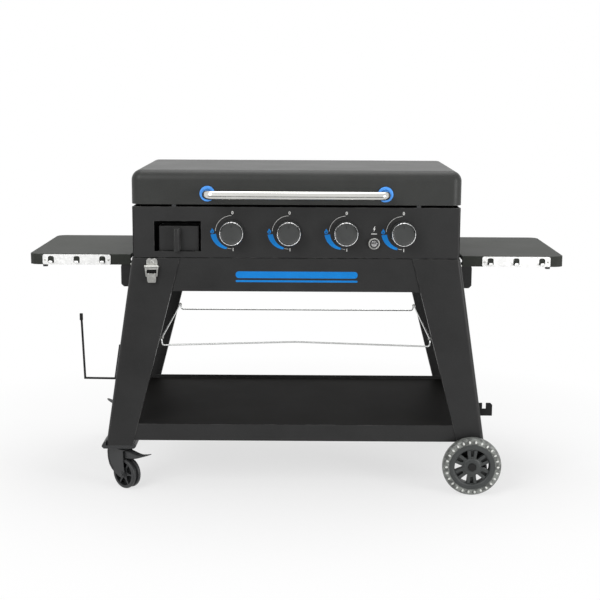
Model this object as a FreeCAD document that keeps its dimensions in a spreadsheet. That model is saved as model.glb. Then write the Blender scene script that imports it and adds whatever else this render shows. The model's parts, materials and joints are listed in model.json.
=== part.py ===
import FreeCAD, Part
import math
import os

import Sketcher

V = FreeCAD.Vector

# Driving dimensions in mm and degrees. Depths run from the control panel's face towards the back.
SIZES = {
    # Head: the box that carries the burners and the plate
    "body_width": 960,
    "head_depth": 575,
    "seam_height": 713,
    "panel_height": 149,
    "panel_depth": 18,
    "panel_corner_radius": 7,
    "sheet_wall": 1.5,
    "firebox_inset": 2,
    "vent_length": 110,
    "vent_height": 12,
    "vent_pitch": 150,
    "vent_drop": 32,
    "shield_depth": 96,
    "ledge_width": 26,
    # Lid
    "lid_gap": 7,
    "lid_height": 99.4,
    "lid_overhang": 2.5,
    "lid_edge_radius": 30,
    "lid_slope_length": 88,
    "lid_crease_radius": 70,
    "lid_back_drop": 44,
    "bumper_width": 12,
    "bumper_depth": 10,
    "bumper_spread": 357,
    # Lid handle
    "handle_diameter": 25,
    "handle_wall": 1.5,
    "handle_standoff": 60,
    "handle_spread": 259,
    "handle_bend_radius": 20,
    "handle_rise": 32,
    "bezel_radius": 22.5,
    "bezel_thickness": 6,
    # Lid hinges
    "hinge_spread": 330,
    "hinge_back": 10,
    "hinge_rise": 4,
    "hinge_barrel_radius": 6,
    "hinge_pin_radius": 3,
    "hinge_width": 60,
    "hinge_leaf_length": 38,
    "hinge_leaf_wall": 2,
    # Griddle plate
    "plate_margin": 20,
    "plate_front": 34,
    "plate_back_gap": 19,
    "plate_thickness": 5,
    "plate_rise": 137,
    "splash_height": 45,
    "splash_wall": 3,
    "front_lip_height": 6,
    "drain_width": 96,
    "drain_depth": 22,
    # Gas train
    "knob_first": -188,
    "knob_pitch": 166.7,
    "knob_rise": 75,
    "knob_radius": 36,
    "knob_face_radius": 28.5,
    "knob_depth": 38,
    "knob_gap": 6,
    "knob_flutes": 20,
    "stem_radius": 4,
    "stem_hole_radius": 9,
    "valve_front": 24,
    "valve_back": 64,
    "valve_width": 26,
    "nozzle_radius": 4.5,
    "manifold_radius": 9.5,
    "manifold_drop": 30,
    "manifold_depth": 46,
    "supply_inset": 40,
    "supply_bend": 30,
    "inlet_radius": 7.9,
    "inlet_length": 18,
    "burner_radius": 12.5,
    "burner_pitch": 208,
    "burner_last": 312,
    "burner_front": 76,
    "burner_back_gap": 45,
    "burner_bend": 40,
    "burner_straight": 125,
    # Igniter
    "igniter_offset": 228,
    "igniter_rise": 44,
    "igniter_ring_radius": 16.5,
    "igniter_ring_depth": 9,
    "igniter_button_radius": 10,
    "igniter_body_radius": 11,
    "igniter_body_depth": 34,
    "igniter_travel": 3,
    "electrode_radius": 3.5,
    "electrode_length": 46,
    # Grease tray
    "window_inset": 64,
    "window_width": 137,
    "window_rise": 18,
    "window_height": 89,
    "tray_inset": 76,
    "tray_width": 119,
    "tray_front": 10,
    "tray_back": 88,
    "tray_height": 72.5,
    "tray_handle_width": 18,
    "tray_handle_reach": 25,
    "runner_width": 14,
    "runner_height": 12,
    # Cart frame
    "cart_margin": 20,
    "leg_wall": 2.5,
    "leg_top_drop": 2,
    "leg_top_margin": 3.2,
    "leg_top_width": 141.7,
    "leg_splay": 88.8,
    "leg_foot_width": 80.5,
    "leg_foot_height": 138,
    "axle_leg_height": 62,
    "leg_depth": 76,
    "leg_return_depth": 22,
    "leg_bend_radius": 4,
    "apron_height": 101,
    "apron_wall": 2,
    "apron_flange": 22,
    "rail_flange": 27,
    # Bottom shelf
    "low_shelf_top": 206,
    "low_shelf_margin": 25,
    "low_shelf_flange": 51,
    "low_shelf_side": 25,
    "low_shelf_lip": 11,
    # Side shelves
    "shelf_margin": 20.5,
    "shelf_reach": 310.2,
    "shelf_front": 113,
    "shelf_depth": 459,
    "shelf_drop": 7.7,
    "shelf_flange": 32,
    "shelf_wall": 2,
    "shelf_corner_radius": 28,
    "shelf_edge_chamfer": 1.5,
    "shelf_inner_flange": 12,
    "pivot_inset": 15.5,
    "pivot_drop": 16.3,
    "pivot_radius": 5,
    "bracket_wall": 3,
    "bracket_gap": 0.5,
    "bracket_reach": 32,
    "bracket_drop": 99.3,
    "bracket_chamfer": 8,
    "bracket_tab": 34,
    # Tool hooks
    "hook_plate_width": 206,
    "hook_plate_inset": 42,
    "hook_plate_wall": 1.5,
    "hook_width": 20,
    "hook_pitch": 78,
    "hook_height": 20,
    "hook_reach": 12,
    "stub_width": 13,
    "stub_height": 6.5,
    # Bag ring
    "ring_wire_radius": 2.75,
    "ring_height": 468,
    "ring_drop": 20,
    "ring_bend_radius": 8,
    "ring_bow": 12,
    "ring_front": 6,
    "clip_radius": 5,
    "clip_length": 8,
    "clip_inset": 19,
    # Paper towel holder
    "towel_wire_radius": 3.25,
    "towel_depth": 40,
    "towel_arm_height": 337,
    "towel_top_height": 536,
    "towel_mount_top": 441,
    "towel_margin": 156,
    "towel_lean": 7,
    "towel_bend_radius": 10,
    "towel_cap_radius": 5,
    "towel_cap_length": 20,
    # Gas bottle hook
    "hook_bottom": 227,
    "hook_top": 267,
    "hook_margin": 116,
    "hook_notch_margin": 85,
    "hook_notch_width": 11,
    "hook_notch_depth": 18,
    "hook_wall": 3,
    # Draw latches
    "latch_inset": 56,
    "latch_drop": 3,
    "strike_height": 19,
    "strike_width": 33,
    "latch_wall": 1.5,
    "latch_pivot_drop": 38,
    "latch_pivot_out": 7,
    "claw_pivot_drop": 8,
    "claw_pivot_out": 9.2,
    "claw_top_width": 43,
    "claw_foot_width": 29,
    "lever_drop": 33,
    "latch_pin_radius": 2,
    # Main wheels
    "wheel_radius": 88.8,
    "wheel_margin": 50,
    "wheel_width": 36,
    "wheel_gap": 6,
    "rim_radius": 68.8,
    "hub_disc_radius": 24,
    "hub_window_radius": 54,
    "axle_radius": 6,
    # Casters
    "caster_wheel_radius": 46,
    "caster_wheel_width": 32,
    "caster_margin": 58,
    "caster_inset": 44,
    "caster_trail": 32,
    "caster_plate_thickness": 10,
    "caster_fork_gap": 1.5,
    "caster_fork_wall": 2.5,
    "caster_axle_radius": 4,
    "kingpin_radius": 6,
    "pedal_length": 88,
    "pedal_width": 26,
    "pedal_pin_radius": 3,
    # Clearances
    "running": 0.05,
    "seat_gap": 0.3,
}

doc = FreeCAD.newDocument("gas_griddle_station")
sheet = doc.addObject("Spreadsheet::Sheet", "Sizes")
for row, (alias, number) in enumerate(SIZES.items(), start=1):
    sheet.set("A%d" % row, alias)
    sheet.set("B%d" % row, str(number))
    sheet.setAlias("B%d" % row, alias)
doc.recompute()


class Size:
    """A length that keeps its number together with the sheet formula behind it."""

    def __init__(self, value, text):
        self.value = value
        self.text = text

    def joined(self, other, sign, value):
        return Size(value, "(%s %s %s)" % (self.text, sign, size(other).text))

    def __add__(self, other):
        return self.joined(other, "+", self.value + size(other).value)

    def __sub__(self, other):
        return self.joined(other, "-", self.value - size(other).value)

    def __mul__(self, other):
        return self.joined(other, "*", self.value * size(other).value)

    def __truediv__(self, other):
        return self.joined(other, "/", self.value / size(other).value)

    def __neg__(self):
        return Size(-self.value, "(-1 * %s)" % self.text)

    __radd__ = __add__
    __rmul__ = __mul__

    def __rsub__(self, other):
        return size(other) - self


def size(thing):
    """A Size as it is, or a plain number made into one."""
    if isinstance(thing, Size):
        return thing
    return Size(float(thing), "(%r)" % float(thing))


class SheetSizes:
    """The sheet's cells as Size attributes."""

    def __getattr__(self, alias):
        return Size(float(SIZES[alias]), "Sizes.%s" % alias)


S = SheetSizes()

# Places that many pieces share
HALF_BODY = S.body_width / 2
CART_DEPTH = S.head_depth + S.cart_margin
FACE = (S.handle_standoff + S.handle_diameter / 2 - CART_DEPTH - S.wheel_gap - S.wheel_width) / 2
PANEL_TOP = S.seam_height + S.panel_height
KNOB_HEIGHT = S.seam_height + S.knob_rise
MANIFOLD_HEIGHT = KNOB_HEIGHT - S.manifold_drop
IGNITER_HEIGHT = S.seam_height + S.igniter_rise
WINDOW_LEFT = S.window_inset - HALF_BODY
WINDOW_BOTTOM = S.seam_height + S.window_rise
TRAY_LEFT = S.tray_inset - HALF_BODY
FIREBOX_HALF = HALF_BODY - S.firebox_inset
FIREBOX_INSIDE = FIREBOX_HALF - S.sheet_wall
SUPPLY_OFFSET = HALF_BODY - S.supply_inset
BURNER_BACK = S.head_depth - S.burner_back_gap
PLATE_TOP = S.seam_height + S.plate_rise
PLATE_BOTTOM = PLATE_TOP - S.plate_thickness
PLATE_HALF = HALF_BODY - S.plate_margin
PLATE_BACK = S.head_depth - S.plate_back_gap
LID_BOTTOM = PANEL_TOP + S.lid_gap
LID_TOP = LID_BOTTOM + S.lid_height
LID_FLAT_DEPTH = S.head_depth - S.lid_slope_length
HANDLE_HEIGHT = LID_BOTTOM + S.handle_rise
HINGE_HEIGHT = PANEL_TOP + S.hinge_rise
HINGE_DEPTH = S.head_depth + S.hinge_back
LEG_TOP = S.seam_height - S.leg_top_drop
LEG_OUTER_TOP = HALF_BODY + S.leg_top_margin
LEG_INNER_TOP = LEG_OUTER_TOP - S.leg_top_width
LEG_OUTER_FOOT = LEG_OUTER_TOP + S.leg_splay
LEG_INNER_FOOT = LEG_OUTER_FOOT - S.leg_foot_width
APRON_BOTTOM = LEG_TOP - S.apron_height + S.leg_top_drop
LOW_SHELF_HALF = HALF_BODY + S.low_shelf_margin
SHELF_TOP = S.seam_height - S.shelf_drop
SHELF_BOTTOM = SHELF_TOP - S.shelf_flange
SHELF_INNER = HALF_BODY + S.shelf_margin
SHELF_OUTER = SHELF_INNER + S.shelf_reach
PIVOT_OFFSET = SHELF_INNER + S.pivot_inset
PIVOT_HEIGHT = SHELF_TOP - S.pivot_drop
BRACKET_BOTTOM = SHELF_TOP - S.bracket_drop
TOWEL_REACH = HALF_BODY + S.towel_margin
HOOK_OUTER = HALF_BODY + S.hook_margin
HOOK_NOTCH_LEFT = HALF_BODY + S.hook_notch_margin
LATCH_OFFSET = HALF_BODY - S.latch_inset
LATCH_TOP = S.seam_height - S.latch_drop
LATCH_PIVOT = LATCH_TOP - S.latch_pivot_drop
LEVER_BOTTOM = LATCH_PIVOT - S.lever_drop
WHEEL_OFFSET = HALF_BODY + S.wheel_margin
CASTER_OFFSET = HALF_BODY + S.caster_margin
STEM_SIDES = 12
RIM_SIDES = 36
KNOBS = [S.knob_first + S.knob_pitch * i for i in range(4)]
BURNERS = [S.burner_last - S.burner_pitch * (3 - i) for i in range(4)]


def deep(depth):
    """The Y of a place at this depth behind the control panel's face."""
    return FACE + depth


def leg_outer(height):
    """How far out a leg's outer face lies at this height."""
    fall = (LEG_OUTER_FOOT - LEG_OUTER_TOP) / (LEG_TOP - S.leg_foot_height)
    return LEG_OUTER_TOP + fall * (LEG_TOP - height)


def leg_inner(height):
    """How far out a leg's inner edge lies at this height."""
    fall = (LEG_INNER_FOOT - LEG_INNER_TOP) / (LEG_TOP - S.leg_foot_height)
    return LEG_INNER_TOP + fall * (LEG_TOP - height)


def bind(target, path, formula):
    """Tie one property to its formula."""
    target.setExpression(path, size(formula).text)


def place(target, x=0, y=0, z=0):
    """Tie an object's position to formulas."""
    for axis, formula in zip("xyz", (x, y, z)):
        bind(target, "Placement.Base." + axis, formula)


def turn(target, axis, angle):
    """Turn an object about an axis through its own origin."""
    target.Placement.Rotation = FreeCAD.Rotation(axis, angle)


def body(label):
    """A new empty body with its name."""
    made = doc.addObject("PartDesign::Body", label)
    made.Label = label
    return made


def sketch(owner, plane, start=0):
    """A sketch on one of the body's own planes, start away from it along +X, +Y or +Z."""
    made = owner.newObject("Sketcher::SketchObject", "Profile")
    role = plane + "_Plane"
    made.AttachmentSupport = [(next(f for f in owner.Origin.OriginFeatures if f.Role == role), "")]
    made.MapMode = "FlatFace"
    start = size(start)
    bind(made, "AttachmentOffset.Base.z", -start if plane == "XZ" else start)
    return made


def fix(profile, kind, geometry, point, formula):
    """Hold one coordinate of a sketch point at a formula's value."""
    formula = size(formula)
    index = profile.addConstraint(Sketcher.Constraint(kind, -1, 1, geometry, point, formula.value))
    profile.setExpression("Constraints[%d]" % index, formula.text)


def outline(profile, points):
    """A closed outline of straight lines through the given points."""
    flat = [V(size(a).value, size(b).value, 0) for a, b in points]
    first = profile.GeometryCount
    count = len(flat)
    for i in range(count):
        profile.addGeometry(Part.LineSegment(flat[i], flat[(i + 1) % count]))
    for i in range(count):
        profile.addConstraint(Sketcher.Constraint("Coincident", first + i, 2, first + (i + 1) % count, 1))
    for i, (a, b) in enumerate(points):
        fix(profile, "DistanceX", first + i, 1, a)
        fix(profile, "DistanceY", first + i, 1, b)


def rectangle(profile, left, low, right, high):
    outline(profile, [(left, low), (right, low), (right, high), (left, high)])


def rounded_rectangle(left, low, right, high, radii, chords=3):
    """The corners of a rectangle that is rounded by chords, from low left round to high left."""
    corners = [(left, low, 1, 1), (right, low, -1, 1), (right, high, -1, -1), (left, high, 1, -1)]
    points = []
    for quarter, ((a, b, inward, up), radius) in enumerate(zip(corners, radii)):
        centre = (size(a) + inward * size(radius), size(b) + up * size(radius))
        for step in range(chords + 1):
            angle = math.pi + (quarter + step / chords) * math.pi / 2
            points.append((centre[0] + radius * math.cos(angle), centre[1] + radius * math.sin(angle)))
    return points


def hold_circle(profile, index, a, b, radius):
    """Tie a circle's or arc's centre and radius to formulas."""
    fix(profile, "DistanceX", index, 3, a)
    fix(profile, "DistanceY", index, 3, b)
    held = profile.addConstraint(Sketcher.Constraint("Radius", index, radius.value))
    profile.setExpression("Constraints[%d]" % held, radius.text)


def ring(profile, a, b, radius, sides=0):
    """A circle centred at a, b in the sketch, or a regular outline with this inner radius."""
    if sides:
        outline(profile, regular(a, b, radius, sides))
        return
    a, b, radius = size(a), size(b), size(radius)
    index = profile.addGeometry(Part.Circle(V(a.value, b.value, 0), V(0, 0, 1), radius.value))
    hold_circle(profile, index, a, b, radius)


def regular(a, b, radius, sides):
    """The corners of a regular outline whose flats lie at the radius."""
    reach = size(radius) / math.cos(math.pi / sides)
    angles = [math.pi * (2 * i + 1) / sides for i in range(sides)]
    return [(a + reach * math.cos(angle), b + reach * math.sin(angle)) for angle in angles]


def pad(owner, profile, length):
    """Material from the sketch along +X, +Y or +Z."""
    made = owner.newObject("PartDesign::Pad", "Pad")
    made.Profile = profile
    bind(made, "Length", length)
    made.Reversed = profile_faces_back(profile)
    profile.Visibility = False
    return made


def pocket(owner, profile, length):
    """A cut from the sketch along +X, +Y or +Z."""
    made = owner.newObject("PartDesign::Pocket", "Pocket")
    made.Profile = profile
    bind(made, "Length", length)
    made.Reversed = not profile_faces_back(profile)
    return made


def profile_faces_back(profile):
    return profile.AttachmentSupport[0][0].Role == "XZ_Plane"


def slab(owner, plane, start, end, points):
    """A padded outline between two places along the plane's normal."""
    profile = sketch(owner, plane, start)
    outline(profile, points)
    return pad(owner, profile, size(end) - size(start))


def cut(owner, plane, start, end, points):
    """A pocketed outline between two places along the plane's normal."""
    profile = sketch(owner, plane, start)
    outline(profile, points)
    return pocket(owner, profile, size(end) - size(start))


def drill(owner, plane, start, end, centres, radius, sides=0):
    """Holes between two places along the plane's normal."""
    profile = sketch(owner, plane, start)
    for a, b in centres:
        ring(profile, a, b, radius, sides)
    return pocket(owner, profile, size(end) - size(start))


def block(owner, plane, start, end, left, low, right, high):
    return slab(owner, plane, start, end, [(left, low), (right, low), (right, high), (left, high)])


def disc(owner, plane, start, end, a, b, radius, sides=0):
    """A padded circle or regular outline between two places along the plane's normal."""
    profile = sketch(owner, plane, start)
    ring(profile, a, b, radius, sides)
    return pad(owner, profile, size(end) - size(start))


def edges(feature, test):
    """The names of the edges whose ends pass the test."""
    doc.recompute()
    found = []
    for number, edge in enumerate(feature.Shape.Edges, start=1):
        ends = [vertex.Point for vertex in edge.Vertexes]
        if len(ends) == 2 and test(ends[0], ends[1]):
            found.append("Edge%d" % number)
    return found


def fillet(owner, feature, radius, test):
    """Round the edges that pass the test."""
    made = owner.newObject("PartDesign::Fillet", "Fillet")
    made.Base = (feature, edges(feature, test))
    bind(made, "Radius", radius)
    return made


def chamfer(owner, feature, width, test):
    """Bevel the edges that pass the test."""
    made = owner.newObject("PartDesign::Chamfer", "Chamfer")
    made.Base = (feature, edges(feature, test))
    bind(made, "Size", width)
    return made


def near(a, b):
    return abs(a - size(b).value) < 0.01


def around(owner, feature, count, plane="XZ"):
    """The feature repeated round the axis that stands on the plane."""
    role = {"XZ": "Y_Axis", "XY": "Z_Axis", "YZ": "X_Axis"}[plane]
    made = owner.newObject("PartDesign::PolarPattern", "Round")
    made.Originals = [feature]
    made.Axis = (next(f for f in owner.Origin.OriginFeatures if f.Role == role), [""])
    made.Angle = 360
    made.Occurrences = count
    owner.Tip = made
    return made


def in_row(owner, features, count, pitch, role="X_Axis"):
    """The features repeated along a body axis."""
    made = owner.newObject("PartDesign::LinearPattern", "Row")
    made.Originals = features
    made.Direction = (next(f for f in owner.Origin.OriginFeatures if f.Role == role), [""])
    bind(made, "Length", size(pitch) * (count - 1))
    made.Occurrences = count
    owner.Tip = made
    return made


def part_of(label, solids):
    """Several separate solids kept as one named piece group."""
    made = doc.addObject("Part::Compound", label)
    made.Label = label
    made.Links = solids
    return made


def bent_points(points, radius, chords):
    """The path with each corner replaced by short chords that touch an arc of the radius."""
    path = [points[0]]
    for i in range(1, len(points) - 1):
        back = (points[i - 1] - points[i]).normalize()
        ahead = (points[i + 1] - points[i]).normalize()
        half = back.getAngle(ahead) / 2
        centre = points[i] + (back + ahead).normalize() * (radius / math.sin(half))
        first_arm = points[i] + back * (radius / math.tan(half)) - centre
        step = math.degrees(math.pi - 2 * half) / chords
        for k in range(chords):
            arm = FreeCAD.Rotation(back.cross(ahead), -step * (k + 0.5)).multVec(first_arm)
            path.append(centre + arm.normalize() * (radius / math.cos(math.radians(step / 2))))
    path.append(points[-1])
    return path


def rod(points, bend, radius, chords=1, bore=0, sides=0):
    """A rod or tube with mitred bends along a path, round or with this many flats."""
    path = Part.makePolygon(bent_points(points, bend, chords))
    along = points[1] - points[0]

    def swept(section_radius):
        section = Part.Wire(Part.Circle(points[0], along, section_radius).toShape())
        if sides:
            arm = along.cross(V(0.1, 0.2, 1)).normalize() * (section_radius / math.cos(math.pi / sides / 2))
            turns = [FreeCAD.Rotation(along, 360 * (i + 0.5) / sides) for i in range(sides)]
            rim = [points[0] + rotation.multVec(arm) for rotation in turns]
            section = Part.makePolygon(rim + rim[:1])
        return path.makePipeShell([section], True, False, 1)

    return swept(radius).cut(swept(bore)) if bore else swept(radius)


def feature(label, shape):
    """A named piece whose shape is made directly."""
    made = doc.addObject("Part::Feature", label)
    made.Label = label
    made.Shape = shape
    return made


def at(x, y, z):
    """A point from three formulas."""
    return V(size(x).value, size(y).value, size(z).value)


# Head

def firebox():
    """Open-topped tub with bottom and rear vents, and ledges for the plate."""
    made = body("firebox")
    wall, back = S.sheet_wall, deep(S.head_depth)
    front = deep(S.panel_depth + S.seat_gap)
    block(made, "XY", S.seam_height, PANEL_TOP, -FIREBOX_HALF, front, FIREBOX_HALF, back)
    inside = sketch(made, "XY", S.seam_height + wall)
    rectangle(inside, -FIREBOX_INSIDE, front - 5, FIREBOX_INSIDE, back - wall)
    pocket(made, inside, S.panel_height)
    for side in (-1, 1):
        block(made, "XY", PLATE_BOTTOM - wall, PLATE_BOTTOM, side * FIREBOX_INSIDE, deep(S.shield_depth + 25),
              side * (FIREBOX_INSIDE - S.ledge_width), back - wall)
    top = PANEL_TOP - S.vent_drop
    drill(made, "XZ", back - wall - 2, back + 2, [(SUPPLY_OFFSET, MANIFOLD_HEIGHT)],
          S.manifold_radius + S.seat_gap, 12)
    rear = cut(made, "XZ", back - wall - 2, back + 2, vent_outline(top))
    in_row(made, [rear], 5, S.vent_pitch)
    floor_vent = cut(made, "XY", S.seam_height - 1, S.seam_height + wall + 1,
                     vent_outline(deep(S.head_depth * 0.6)))
    in_row(made, [floor_vent], 5, S.vent_pitch)
    return made


def vent_outline(height):
    """The first slot of a row that is centred on the head."""
    left = -2 * S.vent_pitch - S.vent_length / 2
    return [(left, height), (left + S.vent_length, height),
            (left + S.vent_length, height + S.vent_height), (left, height + S.vent_height)]


def control_panel():
    """Front cover with returns all round, four stem holes, the igniter hole and the tray window."""
    made = body("control_panel")
    wall, back = S.sheet_wall, deep(S.panel_depth)
    shell = block(made, "XZ", FACE, back, -HALF_BODY, S.seam_height, HALF_BODY, PANEL_TOP)

    def front_corner(a, b):
        upright = near(abs(a.x), HALF_BODY) and near(a.x, b.x)
        return upright and near(a.y, FACE) and near(b.y, FACE)

    fillet(made, shell, S.panel_corner_radius, front_corner)
    cut(made, "XZ", FACE + wall, back + 1, [
        (-HALF_BODY + wall, S.seam_height + wall), (HALF_BODY - wall, S.seam_height + wall),
        (HALF_BODY - wall, PANEL_TOP - wall), (-HALF_BODY + wall, PANEL_TOP - wall)])
    drill(made, "XZ", FACE - 1, FACE + 5, [(x, KNOB_HEIGHT) for x in KNOBS], S.stem_hole_radius, 12)
    drill(made, "XZ", FACE - 1, FACE + 5, [(S.igniter_offset, IGNITER_HEIGHT)],
          S.igniter_body_radius + S.seat_gap, 16)
    window_top = WINDOW_BOTTOM + S.window_height
    window_right = WINDOW_LEFT + S.window_width
    cut(made, "XZ", FACE - 1, FACE + 5, [
        (WINDOW_LEFT, WINDOW_BOTTOM), (window_right, WINDOW_BOTTOM),
        (window_right, window_top), (WINDOW_LEFT, window_top)])
    return made


def burner_shield():
    """Inner wall behind the controls: holds the burners' necks and carries the plate's front edge."""
    made = body("burner_shield")
    wall, depth = S.sheet_wall, deep(S.shield_depth)
    low = S.seam_height + wall
    half = FIREBOX_INSIDE - S.seat_gap
    block(made, "XZ", depth - wall, depth, -half, low, half, PLATE_BOTTOM)
    block(made, "XZ", depth - wall, depth + 22, -half, PLATE_BOTTOM - wall, half, PLATE_BOTTOM)
    block(made, "XZ", depth - wall, depth + 16, -half, low, half, low + wall)
    drill(made, "XZ", depth - 5, depth + 5, [(x, KNOB_HEIGHT) for x in KNOBS],
          S.burner_radius + S.seat_gap, 12)
    drill(made, "XZ", depth - 5, depth + 5, [(SUPPLY_OFFSET, MANIFOLD_HEIGHT)],
          S.manifold_radius + S.seat_gap, 12)
    return made


def griddle_plate():
    """Flat cooking plate with splash walls on three sides, a low front lip and a drain slot."""
    made = body("griddle_plate")
    half, wall = PLATE_HALF, S.splash_wall
    front, back = deep(S.plate_front), deep(PLATE_BACK)
    rim = PLATE_TOP + S.splash_height
    block(made, "XY", PLATE_BOTTOM, PLATE_TOP, -half, front, half, back)
    block(made, "XY", PLATE_BOTTOM, rim, -half, back - wall, half, back)
    slope = [(front, PLATE_BOTTOM), (back, PLATE_BOTTOM), (back, rim), (front + S.splash_height * 1.5, rim),
             (front, PLATE_TOP + S.front_lip_height)]
    slab(made, "YZ", -half, -half + wall, slope)
    slab(made, "YZ", half - wall, half, slope)
    block(made, "XY", PLATE_BOTTOM, PLATE_TOP + S.front_lip_height, -half, front, half, front + wall)
    middle = TRAY_LEFT + S.tray_width / 2
    slot = front + wall + 3
    cut(made, "XY", PLATE_BOTTOM - 1, PLATE_TOP + 1, [
        (middle - S.drain_width / 2, slot), (middle + S.drain_width / 2, slot),
        (middle + S.drain_width / 2, slot + S.drain_depth), (middle - S.drain_width / 2, slot + S.drain_depth)])
    return made


def burners():
    """Four tubes: each leaves its valve straight, then shifts sideways to its place under the plate."""
    tubes = []
    height = KNOB_HEIGHT
    for start, end in zip(KNOBS, BURNERS):
        front, back = deep(S.burner_front), deep(BURNER_BACK)
        bend_start = deep(S.burner_straight)
        points = [at(start, front, height), at(end, back, height)]
        shift = abs(size(end).value - size(start).value)
        if shift > 1:
            points = [at(start, front, height), at(start, bend_start, height),
                      at(end, bend_start + shift * 1.2, height), at(end, back, height)]
        tube = rod(points, S.burner_bend.value, S.burner_radius.value, sides=10)
        mouth = rod([points[0], points[0] + V(0, 16, 0)], 0, S.burner_radius.value - 2, sides=8)
        tubes.append(tube.cut(mouth))
    return feature("burners", Part.makeCompound(tubes))


def gas_manifold():
    """Supply tube across the head that turns back along the right wall to the rear inlet."""
    height = MANIFOLD_HEIGHT
    left = S.knob_first - 30
    back = deep(S.head_depth - S.sheet_wall)
    tube = rod([at(left, deep(S.manifold_depth), height), at(SUPPLY_OFFSET, deep(S.manifold_depth), height),
                at(SUPPLY_OFFSET, back + 3, height)], S.supply_bend.value, S.manifold_radius.value,
               1, sides=10)
    nut_start = at(SUPPLY_OFFSET, back + S.sheet_wall + S.seat_gap, height)
    nut = rod([nut_start, nut_start + V(0, 5, 0)], 0, S.manifold_radius.value + 5, sides=6)
    inlet_start = nut_start + V(0, 5, 0)
    inlet = Part.makeCylinder(S.inlet_radius.value, S.inlet_length.value, inlet_start, V(0, 1, 0))
    bore = Part.makeCylinder(S.inlet_radius.value - 3, S.inlet_length.value, inlet_start, V(0, 1, 0))
    return feature("gas_manifold", tube.fuse([nut, inlet]).cut(bore).removeSplitter())


def valve_bodies():
    """Four gas valves: a square body with a bored neck, a nozzle into the burner and a foot on the manifold."""
    valves = []
    for number, x in enumerate(KNOBS, start=1):
        made = body("valve_%d" % number)
        half = S.valve_width / 2
        place(made, x, FACE, KNOB_HEIGHT)
        block(made, "XZ", S.valve_front, S.valve_back, -half, -half + 2, half, half)
        disc(made, "XZ", S.valve_back, S.burner_front + 8, 0, 0, S.nozzle_radius, 6)
        disc(made, "XY", -S.manifold_drop + S.manifold_radius + S.seat_gap, -half + 4, 0,
             S.manifold_depth, 6, 6)
        drill(made, "XZ", S.valve_front - 1, S.valve_front + 27, [(0, 0)], bore_radius(), STEM_SIDES)
        valves.append(made)
    return part_of("valve_bodies", valves)


def bore_radius():
    """The flats of a stem's bore, clear of the stem's corners."""
    return S.stem_radius / math.cos(math.pi / STEM_SIDES) + S.running


def valve_stem(number, x):
    """The shaft that a knob sits on; it slides in when the knob is pushed."""
    made = body("valve_stem_%d" % number)
    place(made, x, FACE, KNOB_HEIGHT)
    front = -(S.knob_gap + S.knob_depth * 0.55)
    disc(made, "XZ", front, S.valve_front + 20, 0, 0, S.stem_radius, STEM_SIDES)
    return made


def knob(number, x):
    """Round control knob: fluted rim, stepped face and a bore for the stem."""
    made = body("knob_%d" % number)
    place(made, x, FACE, KNOB_HEIGHT)
    back, front = -S.knob_gap, -(S.knob_gap + S.knob_depth)
    rim = sketch(made, "XZ", front + 4)
    outline(rim, fluted_rim(S.knob_radius, int(SIZES["knob_flutes"])))
    pad(made, rim, S.knob_depth - 4)
    disc(made, "XZ", front, front + 4, 0, 0, S.knob_face_radius, 24)
    stem_front = -(S.knob_gap + S.knob_depth * 0.55)
    drill(made, "XZ", stem_front - S.seat_gap, back + 1, [(0, 0)], bore_radius(), STEM_SIDES)
    return made


def fluted_rim(radius, flutes):
    """A rim outline of shallow teeth, one point on each crest and each root."""
    points = []
    for i in range(flutes * 2):
        reach = radius if i % 2 else radius - 1.1
        angle = math.pi * i / flutes
        points.append((reach * math.sin(angle), reach * math.cos(angle)))
    return points


def igniter_module():
    """Battery igniter with its ring on the panel, and its four electrodes beside the burners."""
    made = body("igniter_body")
    place(made, S.igniter_offset, FACE, IGNITER_HEIGHT)
    inner = S.igniter_button_radius + S.running * 4
    disc(made, "XZ", -S.igniter_ring_depth, 0, 0, 0, S.igniter_ring_radius)
    disc(made, "XZ", 0, S.igniter_body_depth, 0, 0, S.igniter_body_radius, 16)
    drill(made, "XZ", -S.igniter_ring_depth - 1, 8, [(0, 0)], inner, 24)
    return part_of("igniter_module", [made] + [electrode(*place_) for place_ in enumerate(KNOBS, start=1)])


def electrode(number, x):
    """Ceramic rod with a spark tip, seated on the shield beside a burner."""
    made = body("electrode_%d" % number)
    place(made, x + S.burner_radius + 9, deep(S.shield_depth), KNOB_HEIGHT + 8)
    disc(made, "XZ", 0, S.electrode_length * 0.6, 0, 0, S.electrode_radius, 8)
    disc(made, "XZ", S.electrode_length * 0.6, S.electrode_length, 0, 0, S.electrode_radius / 3, 4)
    return made


def igniter_button():
    made = body("igniter_button")
    place(made, S.igniter_offset, FACE, IGNITER_HEIGHT)
    disc(made, "XZ", -S.igniter_ring_depth - S.igniter_travel, 8 - S.igniter_travel - S.seat_gap, 0, 0,
         S.igniter_button_radius, 24)
    return made


def grease_tray():
    """Open cup with an upright grip, which slides in at the panel's window."""
    made = body("grease_tray")
    wall = S.sheet_wall
    low = WINDOW_BOTTOM + S.seat_gap + 0.4
    high = low + S.tray_height
    left, right = TRAY_LEFT, TRAY_LEFT + S.tray_width
    front, back = deep(S.tray_front), deep(S.tray_back)
    slab(made, "XY", low, low + S.tray_height, rounded_rectangle(left, front, right, back, [size(6)] * 4, 2))
    cut(made, "XY", low + wall, low + S.tray_height + 1, rounded_rectangle(
        left + wall, front + wall, right - wall, back - wall, [6 - wall] * 4, 2))
    middle, half = left + S.tray_width / 2 - 5, S.tray_handle_width / 2
    nose = front - S.tray_handle_reach
    slab(made, "XY", low + 1, low + S.tray_height - 5, [
        (middle - half, front + 0.5), (middle - half, nose + 4), (middle - half + 4, nose),
        (middle + half - 4, nose), (middle + half, nose + 4), (middle + half, front + 0.5)])
    return made


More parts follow.
